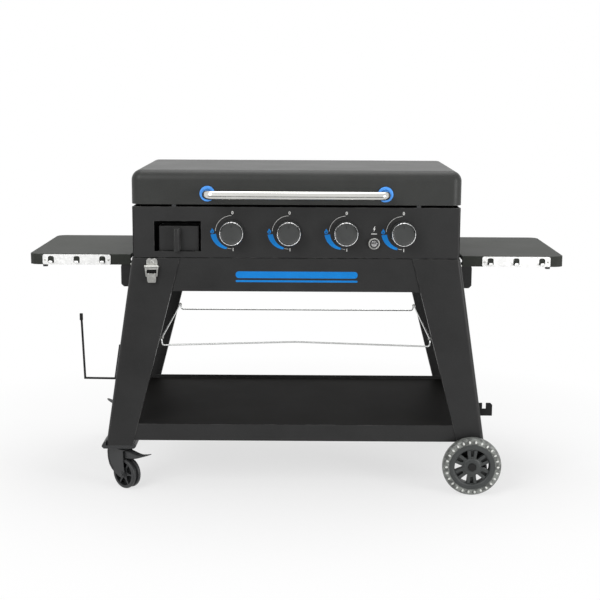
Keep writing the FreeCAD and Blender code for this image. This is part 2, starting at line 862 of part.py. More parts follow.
def tray_runners():
    """Two angle rails from the panel to the shield that the tray slides on."""
    rails = []
    low = WINDOW_BOTTOM + 0.4 - S.runner_height
    for number, side in enumerate((-1, 1), start=1):
        made = body("tray_runner_%d" % number)
        middle = TRAY_LEFT + S.tray_width / 2
        edge = middle + side * (S.tray_width / 2 + 2)
        front, back = deep(S.sheet_wall), deep(S.shield_depth - S.sheet_wall)
        top = low + S.runner_height
        block(made, "XZ", front, back, edge, top - S.sheet_wall, edge - side * S.runner_width, top)
        block(made, "XZ", front, back, edge, low, edge - side * S.sheet_wall, top)
        rails.append(made)
    return part_of("tray_runners", rails)


# Lid

def lid_profile(profile, front, back, low, top, inset):
    """The lid's section from the side: flat top, rounded crease, sloped back."""
    fall = S.lid_back_drop / (S.head_depth + S.lid_overhang - LID_FLAT_DEPTH)
    stretch = math.sqrt(1 + fall.value ** 2)
    radius = S.lid_crease_radius - inset
    a = deep(LID_FLAT_DEPTH) - S.lid_crease_radius * ((stretch - 1) / fall.value)
    b = top - radius
    heel = LID_TOP - S.lid_back_drop - inset * (stretch - fall.value)
    corners = [(a, top), (front, top), (front, low), (back, low), (back, heel)]
    lean = math.atan(fall.value)
    circle = Part.Circle(V(a.value, b.value, 0), V(0, 0, 1), radius.value)
    arc = profile.addGeometry(Part.ArcOfCircle(circle, math.pi / 2 - lean, math.pi / 2))
    hold_circle(profile, arc, a, b, radius)
    flat = [V(size(x).value, size(y).value, 0) for x, y in corners] + [profile.getPoint(arc, 1)]
    lines = [profile.addGeometry(Part.LineSegment(*ends)) for ends in zip(flat, flat[1:])]
    for line, following in zip(lines, lines[1:]):
        profile.addConstraint(Sketcher.Constraint("Coincident", line, 2, following, 1))
    for line, (x, y) in list(zip(lines, corners))[1:]:
        fix(profile, "DistanceX", line, 1, x)
        fix(profile, "DistanceY", line, 1, y)
    profile.addConstraint(Sketcher.Constraint("Tangent", arc, 2, lines[0], 1))
    profile.addConstraint(Sketcher.Constraint("Tangent", lines[-1], 2, arc, 1))


def lid_form(label, inset, low):
    """The lid's rounded block, every face moved inwards by the inset."""
    made = body(label)
    half = HALF_BODY + S.lid_overhang - inset
    front, back = deep(inset - S.lid_overhang), deep(S.head_depth + S.lid_overhang - inset)
    profile = sketch(made, "YZ", -half)
    lid_profile(profile, front, back, low, LID_TOP - inset, inset)
    solid = pad(made, profile, half * 2)

    def rounded(a, b):
        upright = near(a.x, b.x) and near(a.y, b.y)
        across = abs(a.x - b.x) > 200
        at_end = near(a.y, front) or near(a.y, back)
        high = min(a.z, b.z) > LID_TOP.value - S.lid_back_drop.value - 4
        return upright or (high and (at_end or not across))

    fillet(made, solid, S.lid_edge_radius - inset, rounded)
    return made


def lid_shell():
    """Pressed cover: flat top, rounded edges and a sloped back, open below."""
    made = doc.addObject("Part::Cut", "lid_shell")
    made.Label = "lid_shell"
    made.Base = lid_form("lid_outside", size(0), LID_BOTTOM)
    made.Tool = lid_form("lid_inside", S.sheet_wall, LID_BOTTOM - 2)
    return made


def lid_handle():
    """Steel tube across the lid's front, bent back into the bezels at both ends."""
    front = deep(-S.lid_overhang - S.bezel_thickness)
    out = deep(-S.handle_standoff)
    spread, height = S.handle_spread, HANDLE_HEIGHT
    path = [at(-spread, front, height), at(-spread, out, height), at(spread, out, height),
            at(spread, front, height)]
    radius = S.handle_diameter.value / 2
    bend, bore = S.handle_bend_radius.value, radius - S.handle_wall.value
    return feature("lid_handle", rod(path, bend, radius, 2, bore, 16))


def handle_bezels():
    """Two round seats between the handle's ends and the lid."""
    seats = []
    for side in (-1, 1):
        made = body("handle_bezel_%s" % ("left" if side < 0 else "right"))
        place(made, side * S.handle_spread, deep(-S.lid_overhang), HANDLE_HEIGHT)
        disc(made, "XZ", -S.bezel_thickness + 2, 0, 0, 0, S.bezel_radius, 20)
        disc(made, "XZ", -S.bezel_thickness, -S.bezel_thickness + 2, 0, 0, S.bezel_radius - 3, 20)
        seats.append(made)
    return part_of("handle_bezels", seats)


def hinge_leaves(label, moving):
    """Two hinge leaves: the moving one on the lid's back, the fixed one on the firebox with its pin."""
    leaves = []
    wall, barrel = S.hinge_leaf_wall, S.hinge_barrel_radius
    third = S.hinge_width / 3
    for side in (-1, 1):
        name = "%s_%s" % (label, "left" if side < 0 else "right")
        made = body(name)
        place(made, side * S.hinge_spread, deep(HINGE_DEPTH), HINGE_HEIGHT)
        surface = (S.lid_overhang if moving else size(0)) - S.hinge_back
        rise = 1 if moving else -1
        start = LID_BOTTOM - HINGE_HEIGHT + 1 if moving else size(-5)
        reach = start + rise * S.hinge_leaf_length
        if moving:
            block(made, "YZ", -S.hinge_width / 2, S.hinge_width / 2, surface, start, surface + wall, reach)
            slab(made, "YZ", -third / 2 + S.seat_gap, third / 2 - S.seat_gap, [
                (surface, start), (surface + wall, start + 6), (wall, barrel), (0, barrel - 1.5),
                (-barrel + 1, 0)])
            disc(made, "YZ", -third / 2 + S.seat_gap, third / 2 - S.seat_gap, 0, 0, barrel, 12)
            drill(made, "YZ", -third, third, [(0, 0)], S.hinge_pin_radius + S.running, 16)
        else:
            block(made, "YZ", -S.hinge_width / 2, S.hinge_width / 2, surface, start, surface + wall, reach)
            for start_x, end_x in ((-S.hinge_width / 2, -third / 2), (third / 2, S.hinge_width / 2)):
                slab(made, "YZ", start_x, end_x, [
                    (surface, start - 4), (surface + wall, start - 4), (2, -barrel + 0.3), (0, 0),
                    (-barrel + 1, 2), (surface, start)])
                disc(made, "YZ", start_x, end_x, 0, 0, barrel, 12)
            disc(made, "YZ", -third / 2, third / 2, 0, 0, S.hinge_pin_radius)
        leaves.append(made)
    return part_of(label, leaves)


def lid_bumpers():
    """Rubber pads on the panel's top edge that the closed lid rests on."""
    pads = []
    for number, side in enumerate((-1, 1), start=1):
        made = body("lid_bumper_%d" % number)
        place(made, side * S.bumper_spread, deep(S.sheet_wall), PANEL_TOP)
        half = S.bumper_width / 2
        block(made, "XY", 0, S.lid_gap - S.seat_gap, -half, -3, half, S.bumper_depth - 3)
        pads.append(made)
    return part_of("lid_bumpers", pads)


# Cart

def legs():
    """Four tapered legs: broad face plate, outer side plate and a short inner return."""
    return part_of("legs", [leg(side, at_back) for at_back in (False, True) for side in (-1, 1)])


def leg(side, at_back):
    """One leg; the two on the right end at the wheels' axles, the two on the left at the caster plates."""
    made = body("leg_%s_%s" % ("rear" if at_back else "front", "left" if side < 0 else "right"))
    foot = S.leg_foot_height if side < 0 else S.axle_leg_height

    def strip(thickness, low, high, inner_of, outer_of):
        """An upright sloped strip that reaches this far in from the leg's face."""
        ends = (deep(CART_DEPTH - thickness), deep(CART_DEPTH)) if at_back else (deep(0), deep(thickness))
        return slab(made, "XZ", ends[0], ends[1], [
            (side * inner_of(low), low), (side * outer_of(low), low),
            (side * outer_of(high), high), (side * inner_of(high), high)])

    strip(S.leg_wall, foot, LEG_TOP, leg_inner, leg_outer)
    strip(S.leg_depth, foot, LEG_TOP, lambda height: leg_outer(height) - S.leg_wall, leg_outer)
    last = strip(S.leg_return_depth, S.low_shelf_top + S.low_shelf_lip + 2, APRON_BOTTOM - 6,
                 leg_inner, lambda height: leg_inner(height) + S.leg_wall)
    face = deep(CART_DEPTH) if at_back else deep(0)

    def outer_bend(a, b):
        long_edge = abs(a.z - b.z) > 100 and near(a.y, face) and near(b.y, face)
        return long_edge and abs(abs(a.x) - leg_outer(size(a.z)).value) < 0.05

    fillet(made, last, S.leg_bend_radius, outer_bend)
    return made


def aprons():
    """Two channels across the cart between the legs, behind their face plates."""
    return part_of("aprons", [apron("front_apron", False), apron("rear_apron", True)])


def apron(label, at_back):
    made = body(label)
    half = leg_outer(LEG_TOP) - S.leg_wall - 3
    sign = -1 if at_back else 1
    face = deep(CART_DEPTH) if at_back else deep(0)
    near_face = face + sign * S.leg_wall
    wall, flange = S.apron_wall, S.apron_flange
    low, high = APRON_BOTTOM, LEG_TOP
    inner = near_face + sign * wall
    tip = near_face + sign * flange
    slab(made, "YZ", -half, half, [
        (near_face, low), (tip, low), (tip, low + wall), (inner, low + wall),
        (inner, high - wall), (tip, high - wall), (tip, high), (near_face, high)])
    return made


def side_rails():
    """Two sloped plates between the legs, whose top flanges carry the head."""
    rails = []
    for side in (-1, 1):
        made = body("side_rail_%s" % ("left" if side < 0 else "right"))
        wall = S.apron_wall

        def out(height, inset):
            return side * (leg_outer(height) - S.leg_wall - inset)

        low, high = APRON_BOTTOM, S.seam_height
        start = deep(S.leg_wall + S.apron_flange + S.seat_gap)
        end = deep(CART_DEPTH - S.leg_wall - S.apron_flange - S.seat_gap)
        slab(made, "XZ", start, end, [
            (out(low, 0), low), (out(high, 0), high), (out(high, S.rail_flange), high),
            (out(high, S.rail_flange), high - wall), (out(high - wall, wall), high - wall), (out(low, wall), low)])
        rails.append(made)
    return part_of("side_rails", rails)


def bottom_shelf():
    """Pan between the legs: deep front flange, raised back lip and short side flanges."""
    made = body("bottom_shelf")
    wall, top, half = S.leg_wall - 1, S.low_shelf_top, LOW_SHELF_HALF
    front, back = deep(S.leg_wall), deep(CART_DEPTH - S.leg_wall)
    low = top - S.low_shelf_flange
    slab(made, "YZ", -half, half, [
        (front, low), (front + 14, low), (front + 14, low + wall), (front + wall, low + wall),
        (front + wall, top - wall), (back, top - wall), (back, top + S.low_shelf_lip),
        (back - wall, top + S.low_shelf_lip), (back - wall, top), (front, top)])
    for side in (-1, 1):
        block(made, "YZ", *sorted((side * half, side * (half - wall)), key=lambda place_: size(place_).value),
              front, top - S.low_shelf_side, back, top)
    return made


def side_shelf(label, side):
    """Folding shelf: flanged pan with rounded outer corners and two ears on the hinge rod."""
    made = body(label)
    wall = S.shelf_wall
    front, back = deep(S.shelf_front), deep(S.shelf_front + S.shelf_depth)
    def pan_outline(start, inset):
        ends = (SHELF_INNER + inset, SHELF_OUTER - inset)
        left, right = ends if side > 0 else (-ends[1], -ends[0])
        inner, outer = 4 - inset, S.shelf_corner_radius - inset
        radii = [inner, outer, outer, inner] if side > 0 else [outer, inner, inner, outer]
        profile = sketch(made, "XY", start)
        outline(profile, rounded_rectangle(left, front + inset, right, back - inset, radii, 3))
        return profile

    pan = pad(made, pan_outline(SHELF_BOTTOM, size(0)), S.shelf_flange)
    chamfer(made, pan, S.shelf_edge_chamfer, lambda a, b: near(a.z, SHELF_TOP) and near(b.z, SHELF_TOP))
    pocket(made, pan_outline(SHELF_BOTTOM, wall), S.shelf_flange - wall)
    inner_edge = sorted((side * (SHELF_INNER - 1), side * (SHELF_INNER + wall + 3)),
                        key=lambda edge: edge.value)
    cut(made, "XY", SHELF_BOTTOM - 1, SHELF_TOP - S.shelf_inner_flange, [
        (inner_edge[0], front + wall), (inner_edge[1], front + wall),
        (inner_edge[1], back - wall), (inner_edge[0], back - wall)])
    pivot, reach = side * PIVOT_OFFSET, S.pivot_radius + 4
    for depth in ear_depths():
        slab(made, "XZ", depth, depth + S.bracket_wall, [
            (pivot - reach, PIVOT_HEIGHT), (pivot + reach, PIVOT_HEIGHT),
            (pivot + reach, SHELF_TOP - 1), (pivot - reach, SHELF_TOP - 1)])
        disc(made, "XZ", depth, depth + S.bracket_wall, pivot, PIVOT_HEIGHT, reach, 8)
    drill(made, "XZ", front + wall + 1, back - wall - 1, [(pivot, PIVOT_HEIGHT)],
          S.pivot_radius + S.running, 12)
    return made


def ear_depths():
    """Where the shelf's two ears start, just inside the brackets."""
    first, last = bracket_depths()
    return (first + S.bracket_wall + S.bracket_gap, last - S.bracket_gap - S.bracket_wall)


def bracket_depths():
    """Where the two bracket plates of a shelf start."""
    front, back = deep(S.shelf_front), deep(S.shelf_front + S.shelf_depth)
    inset = S.shelf_wall + S.bracket_gap
    return (front + inset, back - inset - S.bracket_wall)


def shelf_brackets():
    """Four plates with a bent tab on the side rail, which hold the hinge rods."""
    plates = []
    for side in (-1, 1):
        for number, depth in enumerate(bracket_depths(), start=1):
            made = body("shelf_bracket_%s_%d" % ("left" if side < 0 else "right", number))
            outer = SHELF_INNER + S.bracket_reach
            stand_off = S.seat_gap if number == 2 else S.seat_gap - S.leg_wall

            def inner(height):
                return side * (leg_outer(height) + stand_off)

            shoulder = PIVOT_HEIGHT - 22
            reach = S.pivot_radius + 6
            slab(made, "XZ", depth, depth + S.bracket_wall, [
                (inner(BRACKET_BOTTOM), BRACKET_BOTTOM),
                (side * (outer - S.bracket_chamfer), BRACKET_BOTTOM),
                (side * outer, BRACKET_BOTTOM + S.bracket_chamfer), (side * outer, shoulder),
                (side * (PIVOT_OFFSET + reach), PIVOT_HEIGHT - 3), (inner(PIVOT_HEIGHT - 3), PIVOT_HEIGHT - 3)])
            disc(made, "XZ", depth, depth + S.bracket_wall, side * PIVOT_OFFSET, PIVOT_HEIGHT, reach, 8)
            ends = (depth, depth + S.bracket_tab) if number == 1 else (
                depth + S.bracket_wall - S.bracket_tab, depth + S.bracket_wall)
            low, high = BRACKET_BOTTOM + 8, PIVOT_HEIGHT - 6
            slab(made, "XZ", ends[0], ends[1], [
                (inner(low), low), (inner(low) + side * S.apron_wall, low),
                (inner(high) + side * S.apron_wall, high), (inner(high), high)])
            drill(made, "XZ", depth - 1, depth + S.bracket_wall + 1, [(side * PIVOT_OFFSET, PIVOT_HEIGHT)],
                  S.pivot_radius + S.running, 12)
            plates.append(made)
    return part_of("shelf_brackets", plates)


def shelf_hinge_rods():
    """One rod under each shelf's inner end, through both brackets and both ears."""
    rods = []
    start, last = bracket_depths()
    for side in (-1, 1):
        made = body("shelf_hinge_rod_%s" % ("left" if side < 0 else "right"))
        disc(made, "XZ", start, last + S.bracket_wall, side * PIVOT_OFFSET, PIVOT_HEIGHT, S.pivot_radius)
        rods.append(made)
    return part_of("shelf_hinge_rods", rods)


def tool_hooks(label, side):
    """Steel plate on the shelf's front with three punched and bent hooks."""
    made = body(label)
    wall = S.hook_plate_wall
    face = deep(S.shelf_front)
    outer = SHELF_OUTER - S.hook_plate_inset
    inner = outer - S.hook_plate_width
    low, high = SHELF_BOTTOM, SHELF_TOP - S.shelf_edge_chamfer
    slab(made, "XZ", face - wall, face, [
        (side * inner, low), (side * outer, low), (side * outer, high - 4), (side * (outer - 4), high),
        (side * (inner + 4), high), (side * inner, high - 4)])
    first = side * (outer - S.hook_plate_width / 2) - S.hook_pitch
    half = S.hook_width / 2
    sill = low + 6
    window = cut(made, "XZ", face - wall - 1, face + 1, [
        (first - half, sill), (first + half, sill), (first + half, sill + S.hook_height),
        (first - half, sill + S.hook_height)])
    in_row(made, [window], 3, S.hook_pitch)
    tongue = slab(made, "YZ", first - half + 3, first + half - 3, [
        (face, sill - wall), (face - S.hook_reach, sill - wall), (face - S.hook_reach, sill + 9),
        (face - S.hook_reach + wall, sill + 9), (face - S.hook_reach + wall, sill), (face, sill)])
    in_row(made, [tongue], 3, S.hook_pitch)
    return made


def shelf_bumpers(label, side):
    """Small rubber feet under the shelf's outer flange."""
    feet = []
    for number, depth in enumerate((S.shelf_front + 3, S.shelf_front + S.shelf_depth - 9), start=1):
        made = body("%s_%d" % (label, number))
        middle = side * (SHELF_OUTER - 49)
        half = S.stub_width / 2
        block(made, "XY", SHELF_BOTTOM - S.stub_height, SHELF_BOTTOM, middle - half, deep(depth - 3),
              middle + half, deep(depth + 9))
        feet.append(made)
    return part_of(label, feet)


def ring_offset():
    return leg_inner(S.ring_height) - S.clip_radius - S.seat_gap


def bag_ring():
    """Wire ring for a bag: straight sides in the clips, both cross runs dropped and slightly bowed."""
    out, height, low = ring_offset(), S.ring_height, S.ring_height - S.ring_drop
    front, back = deep(S.ring_front), deep(CART_DEPTH - S.ring_front)
    side_back = at(out, back, height)
    points = [at(out, deep(CART_DEPTH / 2), height), at(out, front, height), at(out - 2, front, low),
              at(size(0), front, low + S.ring_bow), at(-out + 2, front, low), at(-out, front, height),
              at(-out, back, height), at(-out + 2, back, low), at(size(0), back, low - 2),
              at(out - 2, back, low), side_back, at(out, deep(CART_DEPTH / 2), height)]
    return feature("bag_ring", rod(points, S.ring_bend_radius.value, S.ring_wire_radius.value, sides=8))


def bag_ring_clips():
    """Four round clips on the legs' inner returns that hold the ring's sides."""
    clips = []
    for side in (-1, 1):
        for number, depth in enumerate((S.clip_inset, CART_DEPTH - S.clip_inset), start=1):
            made = body("ring_clip_%s_%d" % ("left" if side < 0 else "right", number))
            start = deep(depth - S.clip_length / 2)
            disc(made, "XZ", start, start + S.clip_length, side * ring_offset(), S.ring_height,
                 S.clip_radius - 0.4, 8)
            drill(made, "XZ", start - 1, start + S.clip_length + 1, [(side * ring_offset(), S.ring_height)],
                  S.ring_wire_radius + S.running, 8)
            clips.append(made)
    return part_of("bag_ring_clips", clips)


def towel_holder():
    """Bent rod on the left front leg with a thicker cap on its upright."""
    wire, depth = S.towel_wire_radius, deep(S.towel_depth)
    out = wire + S.seat_gap

    def beside_leg(height):
        return -(leg_outer(height) + out)

    low, top = S.towel_arm_height, S.towel_top_height
    points = [at(beside_leg(S.towel_mount_top), depth, S.towel_mount_top), at(beside_leg(low), depth, low),
              at(-TOWEL_REACH, depth, low + 1), at(-TOWEL_REACH - S.towel_lean, depth, top)]
    cap_base = at(-TOWEL_REACH - S.towel_lean, depth, top - S.towel_cap_length)
    cap = rod([cap_base, cap_base + V(0, 0, S.towel_cap_length.value)], 0, S.towel_cap_radius.value, sides=12)
    shape = rod(points, S.towel_bend_radius.value, wire.value, sides=10)
    return feature("towel_holder", shape.fuse(cap).removeSplitter())


def bottle_hook():
    """Notched plate on the right front leg that a gas bottle's collar hangs on."""
    made = body("bottle_hook")
    depth = deep(S.towel_depth)
    low, high = S.hook_bottom, S.hook_top
    notch, floor_z = HOOK_NOTCH_LEFT, S.hook_top - S.hook_notch_depth
    slab(made, "XZ", depth, depth + S.hook_wall, [
        (leg_outer(low), low), (HOOK_OUTER - 10, low), (HOOK_OUTER, low + 10), (HOOK_OUTER, high),
        (notch + S.hook_notch_width, high), (notch + S.hook_notch_width, floor_z), (notch, floor_z),
        (notch, high), (leg_outer(high), high)])
    slab(made, "XZ", depth, depth + 26, [
        (leg_outer(low), low), (leg_outer(low) + S.hook_wall, low), (leg_outer(high) + S.hook_wall, high),
        (leg_outer(high), high)])
    return made


# Draw latches: made at the front left, the second one is the same piece turned half round

def latch_place(made, at_back):
    if at_back:
        turn(made, V(0, 0, 1), 180)
        place(made, LATCH_OFFSET, deep(CART_DEPTH), 0)
    else:
        place(made, -LATCH_OFFSET, FACE, 0)


def latch_strikes():
    """Hooked plates under the head's edge, one per latch."""
    strikes = []
    for at_back in (False, True):
        made = body("strike_%s" % ("rear" if at_back else "front"))
        latch_place(made, at_back)
        wall, half = S.latch_wall, S.strike_width / 2
        low, high = LATCH_TOP - S.strike_height, LATCH_TOP
        block(made, "XZ", -wall, 0, -half, low, half, LEG_TOP + S.seat_gap)
        block(made, "XZ", -wall, 14, -half, LEG_TOP + S.seat_gap, half, S.seam_height - S.seat_gap)
        block(made, "YZ", -half, half, -8.2, low, -wall, low + wall)
        block(made, "YZ", -half, half, -8.2, low, -8.2 + wall, low + wall + 2.2)
        strikes.append(made)
    return part_of("latch_strikes", strikes)


def latch_bases():
    """Base plates on the legs with two ears and the lever's pivot pin."""
    bases = []
    for at_back in (False, True):
        made = body("latch_base_%s" % ("rear" if at_back else "front"))
        latch_place(made, at_back)
        wall = S.latch_wall
        pivot, out = LATCH_PIVOT, S.latch_pivot_out
        block(made, "XZ", -wall, 0, -14, LEVER_BOTTOM + 3, 14, LATCH_TOP - S.strike_height - 4)
        for side in (-1, 1):
            ends = sorted((side * 6.5, side * 8.0))
            slab(made, "YZ", ends[0], ends[1], [
                (-wall + 0.2, pivot - 11), (-wall + 0.2, pivot + 5), (-out + 1, pivot + 4), (-out - 4, pivot + 1),
                (-out - 4, pivot - 2), (-out + 1, pivot - 5)])
        disc(made, "YZ", -11.5, 11.5, -out, pivot, S.latch_pin_radius, 8)
        bases.append(made)
    return part_of("latch_bases", bases)


def latch_lever(label, at_back):
    """Toggle lever: two cheeks on the pivot, a front web with a thumb end and the claw's pin."""
    made = body(label)
    latch_place(made, at_back)
    pivot, out, low = LATCH_PIVOT, S.latch_pivot_out, LEVER_BOTTOM
    pin_height, pin_out = pivot - S.claw_pivot_drop, S.claw_pivot_out
    web_out = pin_out + 5.2
    for side in (-1, 1):
        ends = sorted((side * 8.4, side * 10.2))
        slab(made, "YZ", ends[0], ends[1], [
            (-out - 3.5, pivot + 3), (-out + 3.5, pivot + 3), (-out + 4, pivot - 6), (-web_out + 4, low + 4),
            (-web_out, low + 4), (-web_out, pin_height - 8), (-pin_out - 2.6, pin_height - 4)])
    block(made, "YZ", -10.2, 10.2, -web_out, low + 4, -web_out + S.latch_wall, pin_height - 8)
    slab(made, "YZ", -12.5, 12.5, [
        (-web_out, low + 8), (-web_out + S.latch_wall, low + 8), (-web_out + S.latch_wall - 2, low),
        (-web_out - 2, low)])
    drill(made, "YZ", -12, 12, [(-out, pivot)], pin_bore_radius(), 8)
    disc(made, "YZ", -14.2, 14.2, -pin_out, pin_height, S.latch_pin_radius, 8)
    return made


def pin_bore_radius():
    """The flats of a pin's bore, clear of the pin's corners."""
    return S.latch_pin_radius / math.cos(math.pi / 8) + S.running


def latch_claw(label, at_back):
    """Tapered plate with an opening for the lever, whose bent top hooks over the strike's lip."""
    made = body(label)
    latch_place(made, at_back)
    pin_height = LATCH_PIVOT - S.claw_pivot_drop
    pin_out, wall = S.claw_pivot_out, S.latch_wall
    front = pin_out + 4.6
    top = LATCH_TOP - S.strike_height + wall + 4
    foot, half_top, half_foot = pin_height - 3, S.claw_top_width / 2, S.claw_foot_width / 2
    slab(made, "XZ", -front, -front + wall, [
        (-half_foot, foot), (half_foot, foot), (half_foot + 1, foot + 8), (half_top, top - 6), (half_top, top),
        (-half_top, top), (-half_top, top - 6), (-half_foot - 1, foot + 8)])
    cut(made, "XZ", -front - 1, -front + wall + 1, [
        (-10.6, foot - 1), (10.6, foot - 1), (10.6, foot + 18), (-10.6, foot + 18)])
    block(made, "XZ", -front, -4.4, -half_top + 3, top - wall, half_top - 3, top)
    block(made, "XZ", -4.4 - wall, -4.4, -half_top + 3, top - wall - 2, half_top - 3, top)
    for side in (-1, 1):
        ends = sorted((side * (10.2 + 0.4), side * (S.claw_foot_width.value / 2)))
        block(made, "YZ", ends[0], ends[1], -front, foot, -pin_out + 3.2, pin_height + 4)
    drill(made, "YZ", -16, 16, [(-pin_out, pin_height)], pin_bore_radius(), 8)
    return made


# Wheels and casters

def wheel_hub(label, at_back):
    """Spoked hub: rim, six spokes between six large windows, and a bored centre boss."""
    made = body(label)
    wheel_place(made, at_back)
    half, web, boss = S.wheel_width / 2, size(5), S.hub_disc_radius
    disc(made, "XZ", -half, half, 0, 0, S.rim_radius, RIM_SIDES)
    for start, end in ((-half - 1, -web), (web, half + 1)):
        drill(made, "XZ", start, end, [(0, 0)], S.rim_radius - 7, 24)
        disc(made, "XZ", *sorted((start * 0.75, end * 0.75), key=lambda edge: edge.value), 0, 0, boss, 16)
    drill(made, "XZ", -half - 1, half + 1, [(0, 0)], S.axle_radius + S.running)
    window = cut(made, "XZ", -half, half, wedge(boss + 5, S.hub_window_radius, 22, 18))
    around(made, window, 6)
    return made


def wedge(inner, outer, wide_angle, narrow_angle):
    """A window outline between two radii, centred on the sketch's first axis."""
    inner, outer = size(inner), size(outer)
    points = []
    for radius, angle in ((inner, -narrow_angle), (outer, -wide_angle), (outer * 1.045, 0), (outer, wide_angle),
                          (inner, narrow_angle)):
        points.append((radius * math.cos(math.radians(angle)), radius * math.sin(math.radians(angle))))
    return points


def wheel_place(made, at_back):
    depth = CART_DEPTH + S.wheel_gap + S.wheel_width / 2 if at_back else -(S.wheel_gap + S.wheel_width / 2)
    place(made, WHEEL_OFFSET, deep(depth), S.wheel_radius)


def tyre(label, at_back):
    """Solid tyre, seated on the rim."""
    made = body(label)
    wheel_place(made, at_back)
    half = S.wheel_width / 2
    disc(made, "XZ", -half, half, 0, 0, S.wheel_radius)
    drill(made, "XZ", -half - 1, half + 1, [(0, 0)], S.rim_radius, RIM_SIDES)
    return made


def wheel_axles():
    """Two shoulder bolts through the right legs that the wheels turn on."""
    bolts = []
    for at_back in (False, True):
        made = body("wheel_axle_%s" % ("rear" if at_back else "front"))
        if at_back:
            turn(made, V(0, 0, 1), 180)
        place(made, WHEEL_OFFSET, deep(CART_DEPTH) if at_back else FACE, S.wheel_radius)
        head = -(S.wheel_gap + S.wheel_width - 3)
        disc(made, "XZ", head, 0, 0, 0, S.axle_radius)
        disc(made, "XZ", head - 4, head, 0, 0, S.axle_radius + 5, 6)
        disc(made, "XZ", -S.wheel_gap + 2, 0, 0, 0, S.axle_radius + 6, 12)
        bolts.append(made)
    return part_of("wheel_axles", bolts)


def caster_plates():
    """Foot plates under the left legs with the raceway that the caster forks turn in."""
    plates = []
    foot, thick = S.leg_foot_height, S.caster_plate_thickness
    for at_back in (False, True):
        made = body("caster_plate_%s" % ("rear" if at_back else "front"))
        near_edge, far_edge = (CART_DEPTH - S.leg_depth - 6, CART_DEPTH) if at_back else (
            size(0), S.leg_depth + 6)
        outer, inner = -(LEG_OUTER_FOOT + 14), -(LEG_INNER_FOOT - 4)
        slab(made, "XZ", deep(near_edge), deep(far_edge), [
            (outer + 5, foot - thick), (inner - 4, foot - thick), (inner, foot - 4), (inner - 2, foot),
            (outer + 12, foot), (outer + 11, foot + 9), (outer + 8, foot + 9), (outer, foot - 2)])
        depth = CART_DEPTH - S.caster_inset if at_back else S.caster_inset
        disc(made, "XY", foot - thick - 5, foot - thick, -CASTER_OFFSET, deep(depth), 25, 20)
        drill(made, "XY", foot - thick - 6, foot - 3, [(-CASTER_OFFSET, deep(depth))],
              S.kingpin_radius / math.cos(math.pi / 16) + S.running, 16)
        plates.append(made)
    return part_of("caster_plates", plates)


def caster_place(made, at_back, turned):
    depth = CART_DEPTH - S.caster_inset if at_back else S.caster_inset
    turn(made, V(0, 0, 1), turned)
    place(made, -CASTER_OFFSET, deep(depth), 0)


def caster_fork(label, at_back, turned):
    """Fork with two arms, crown, kingpin and the wheel's axle."""
    made = body(label)
    caster_place(made, at_back, turned)
    crown = S.leg_foot_height - S.caster_plate_thickness - 5 - S.seat_gap * 2
    arm = S.caster_wheel_width / 2 + S.caster_fork_gap
    wall, trail, axle = S.caster_fork_wall, S.caster_trail, S.caster_wheel_radius
    block(made, "XZ", -arm - wall, arm + wall, -24, crown - 4, 36, crown)
    for start in (-arm - wall, arm):
        slab(made, "XZ", start, start + wall, [
            (-24, crown), (-24, crown - 22), (trail - 11, axle - 3), (trail - 6, axle - 9), (trail + 6, axle - 9),
            (trail + 11, axle - 2), (trail + 8, axle + 22), (36, crown - 12), (36, crown)])
    disc(made, "XY", crown, S.leg_foot_height - 3 - S.seat_gap, 0, 0, S.kingpin_radius, 16)
    disc(made, "XZ", -arm, arm, 30, crown - 12, S.pedal_pin_radius, 8)
    disc(made, "XZ", -arm - wall, arm + wall, trail, axle, S.caster_axle_radius, 16)
    for start in (-arm - wall - 3, arm + wall):
        disc(made, "XZ", start, start + 3, trail, axle, S.caster_axle_radius + 3.5, 6)
    return made


def caster_wheel(label, at_back, turned):
    """Wheel with recessed faces, a boss and five windows."""
    made = body(label)
    c, s = math.cos(math.radians(turned)), math.sin(math.radians(turned))
    depth = CART_DEPTH - S.caster_inset if at_back else S.caster_inset
    turn(made, V(0, 0, 1), turned)
    place(made, -CASTER_OFFSET + S.caster_trail * c, deep(depth) + S.caster_trail * s, S.caster_wheel_radius)
    half, outer = S.caster_wheel_width / 2, S.caster_wheel_radius
    disc(made, "XZ", -half, half, 0, 0, outer * math.cos(math.pi / 40), 40)
    for start, end in ((-half - 1, size(-6)), (size(6), half + 1)):
        drill(made, "XZ", start, end, [(0, 0)], outer - 9, 20)
        disc(made, "XZ", *sorted((start * 0.88, end * 0.88), key=lambda edge: edge.value), 0, 0, 12, 10)
    drill(made, "XZ", -half - 1, half + 1, [(0, 0)], S.caster_axle_radius / math.cos(math.pi / 16) + S.running, 16)
    window = cut(made, "XZ", -half, half, wedge(size(16), outer - 14, 24, 18))
    around(made, window, 5)
    return made


def caster_brake(label, at_back, turned):
    """Brake pedal that turns about a pin between the fork's arms."""
    made = body(label)
    caster_place(made, at_back, turned)
    half = S.pedal_width / 2
    crown = S.leg_foot_height - S.caster_plate_thickness - 5 - S.seat_gap * 2
    slab(made, "XZ", -half, half, [
        (24, crown - 17), (38, crown - 18), (S.pedal_length + 4, crown - 9), (S.pedal_length + 34, crown),
        (S.pedal_length + 34, crown + 2), (S.pedal_length, crown - 4), (60, crown - 3), (40, crown - 6),
        (24, crown - 7)])
    drill(made, "XZ", -half - 1, half + 1, [(30, crown - 12)],
          S.pedal_pin_radius / math.cos(math.pi / 8) + S.running, 8)
    return made


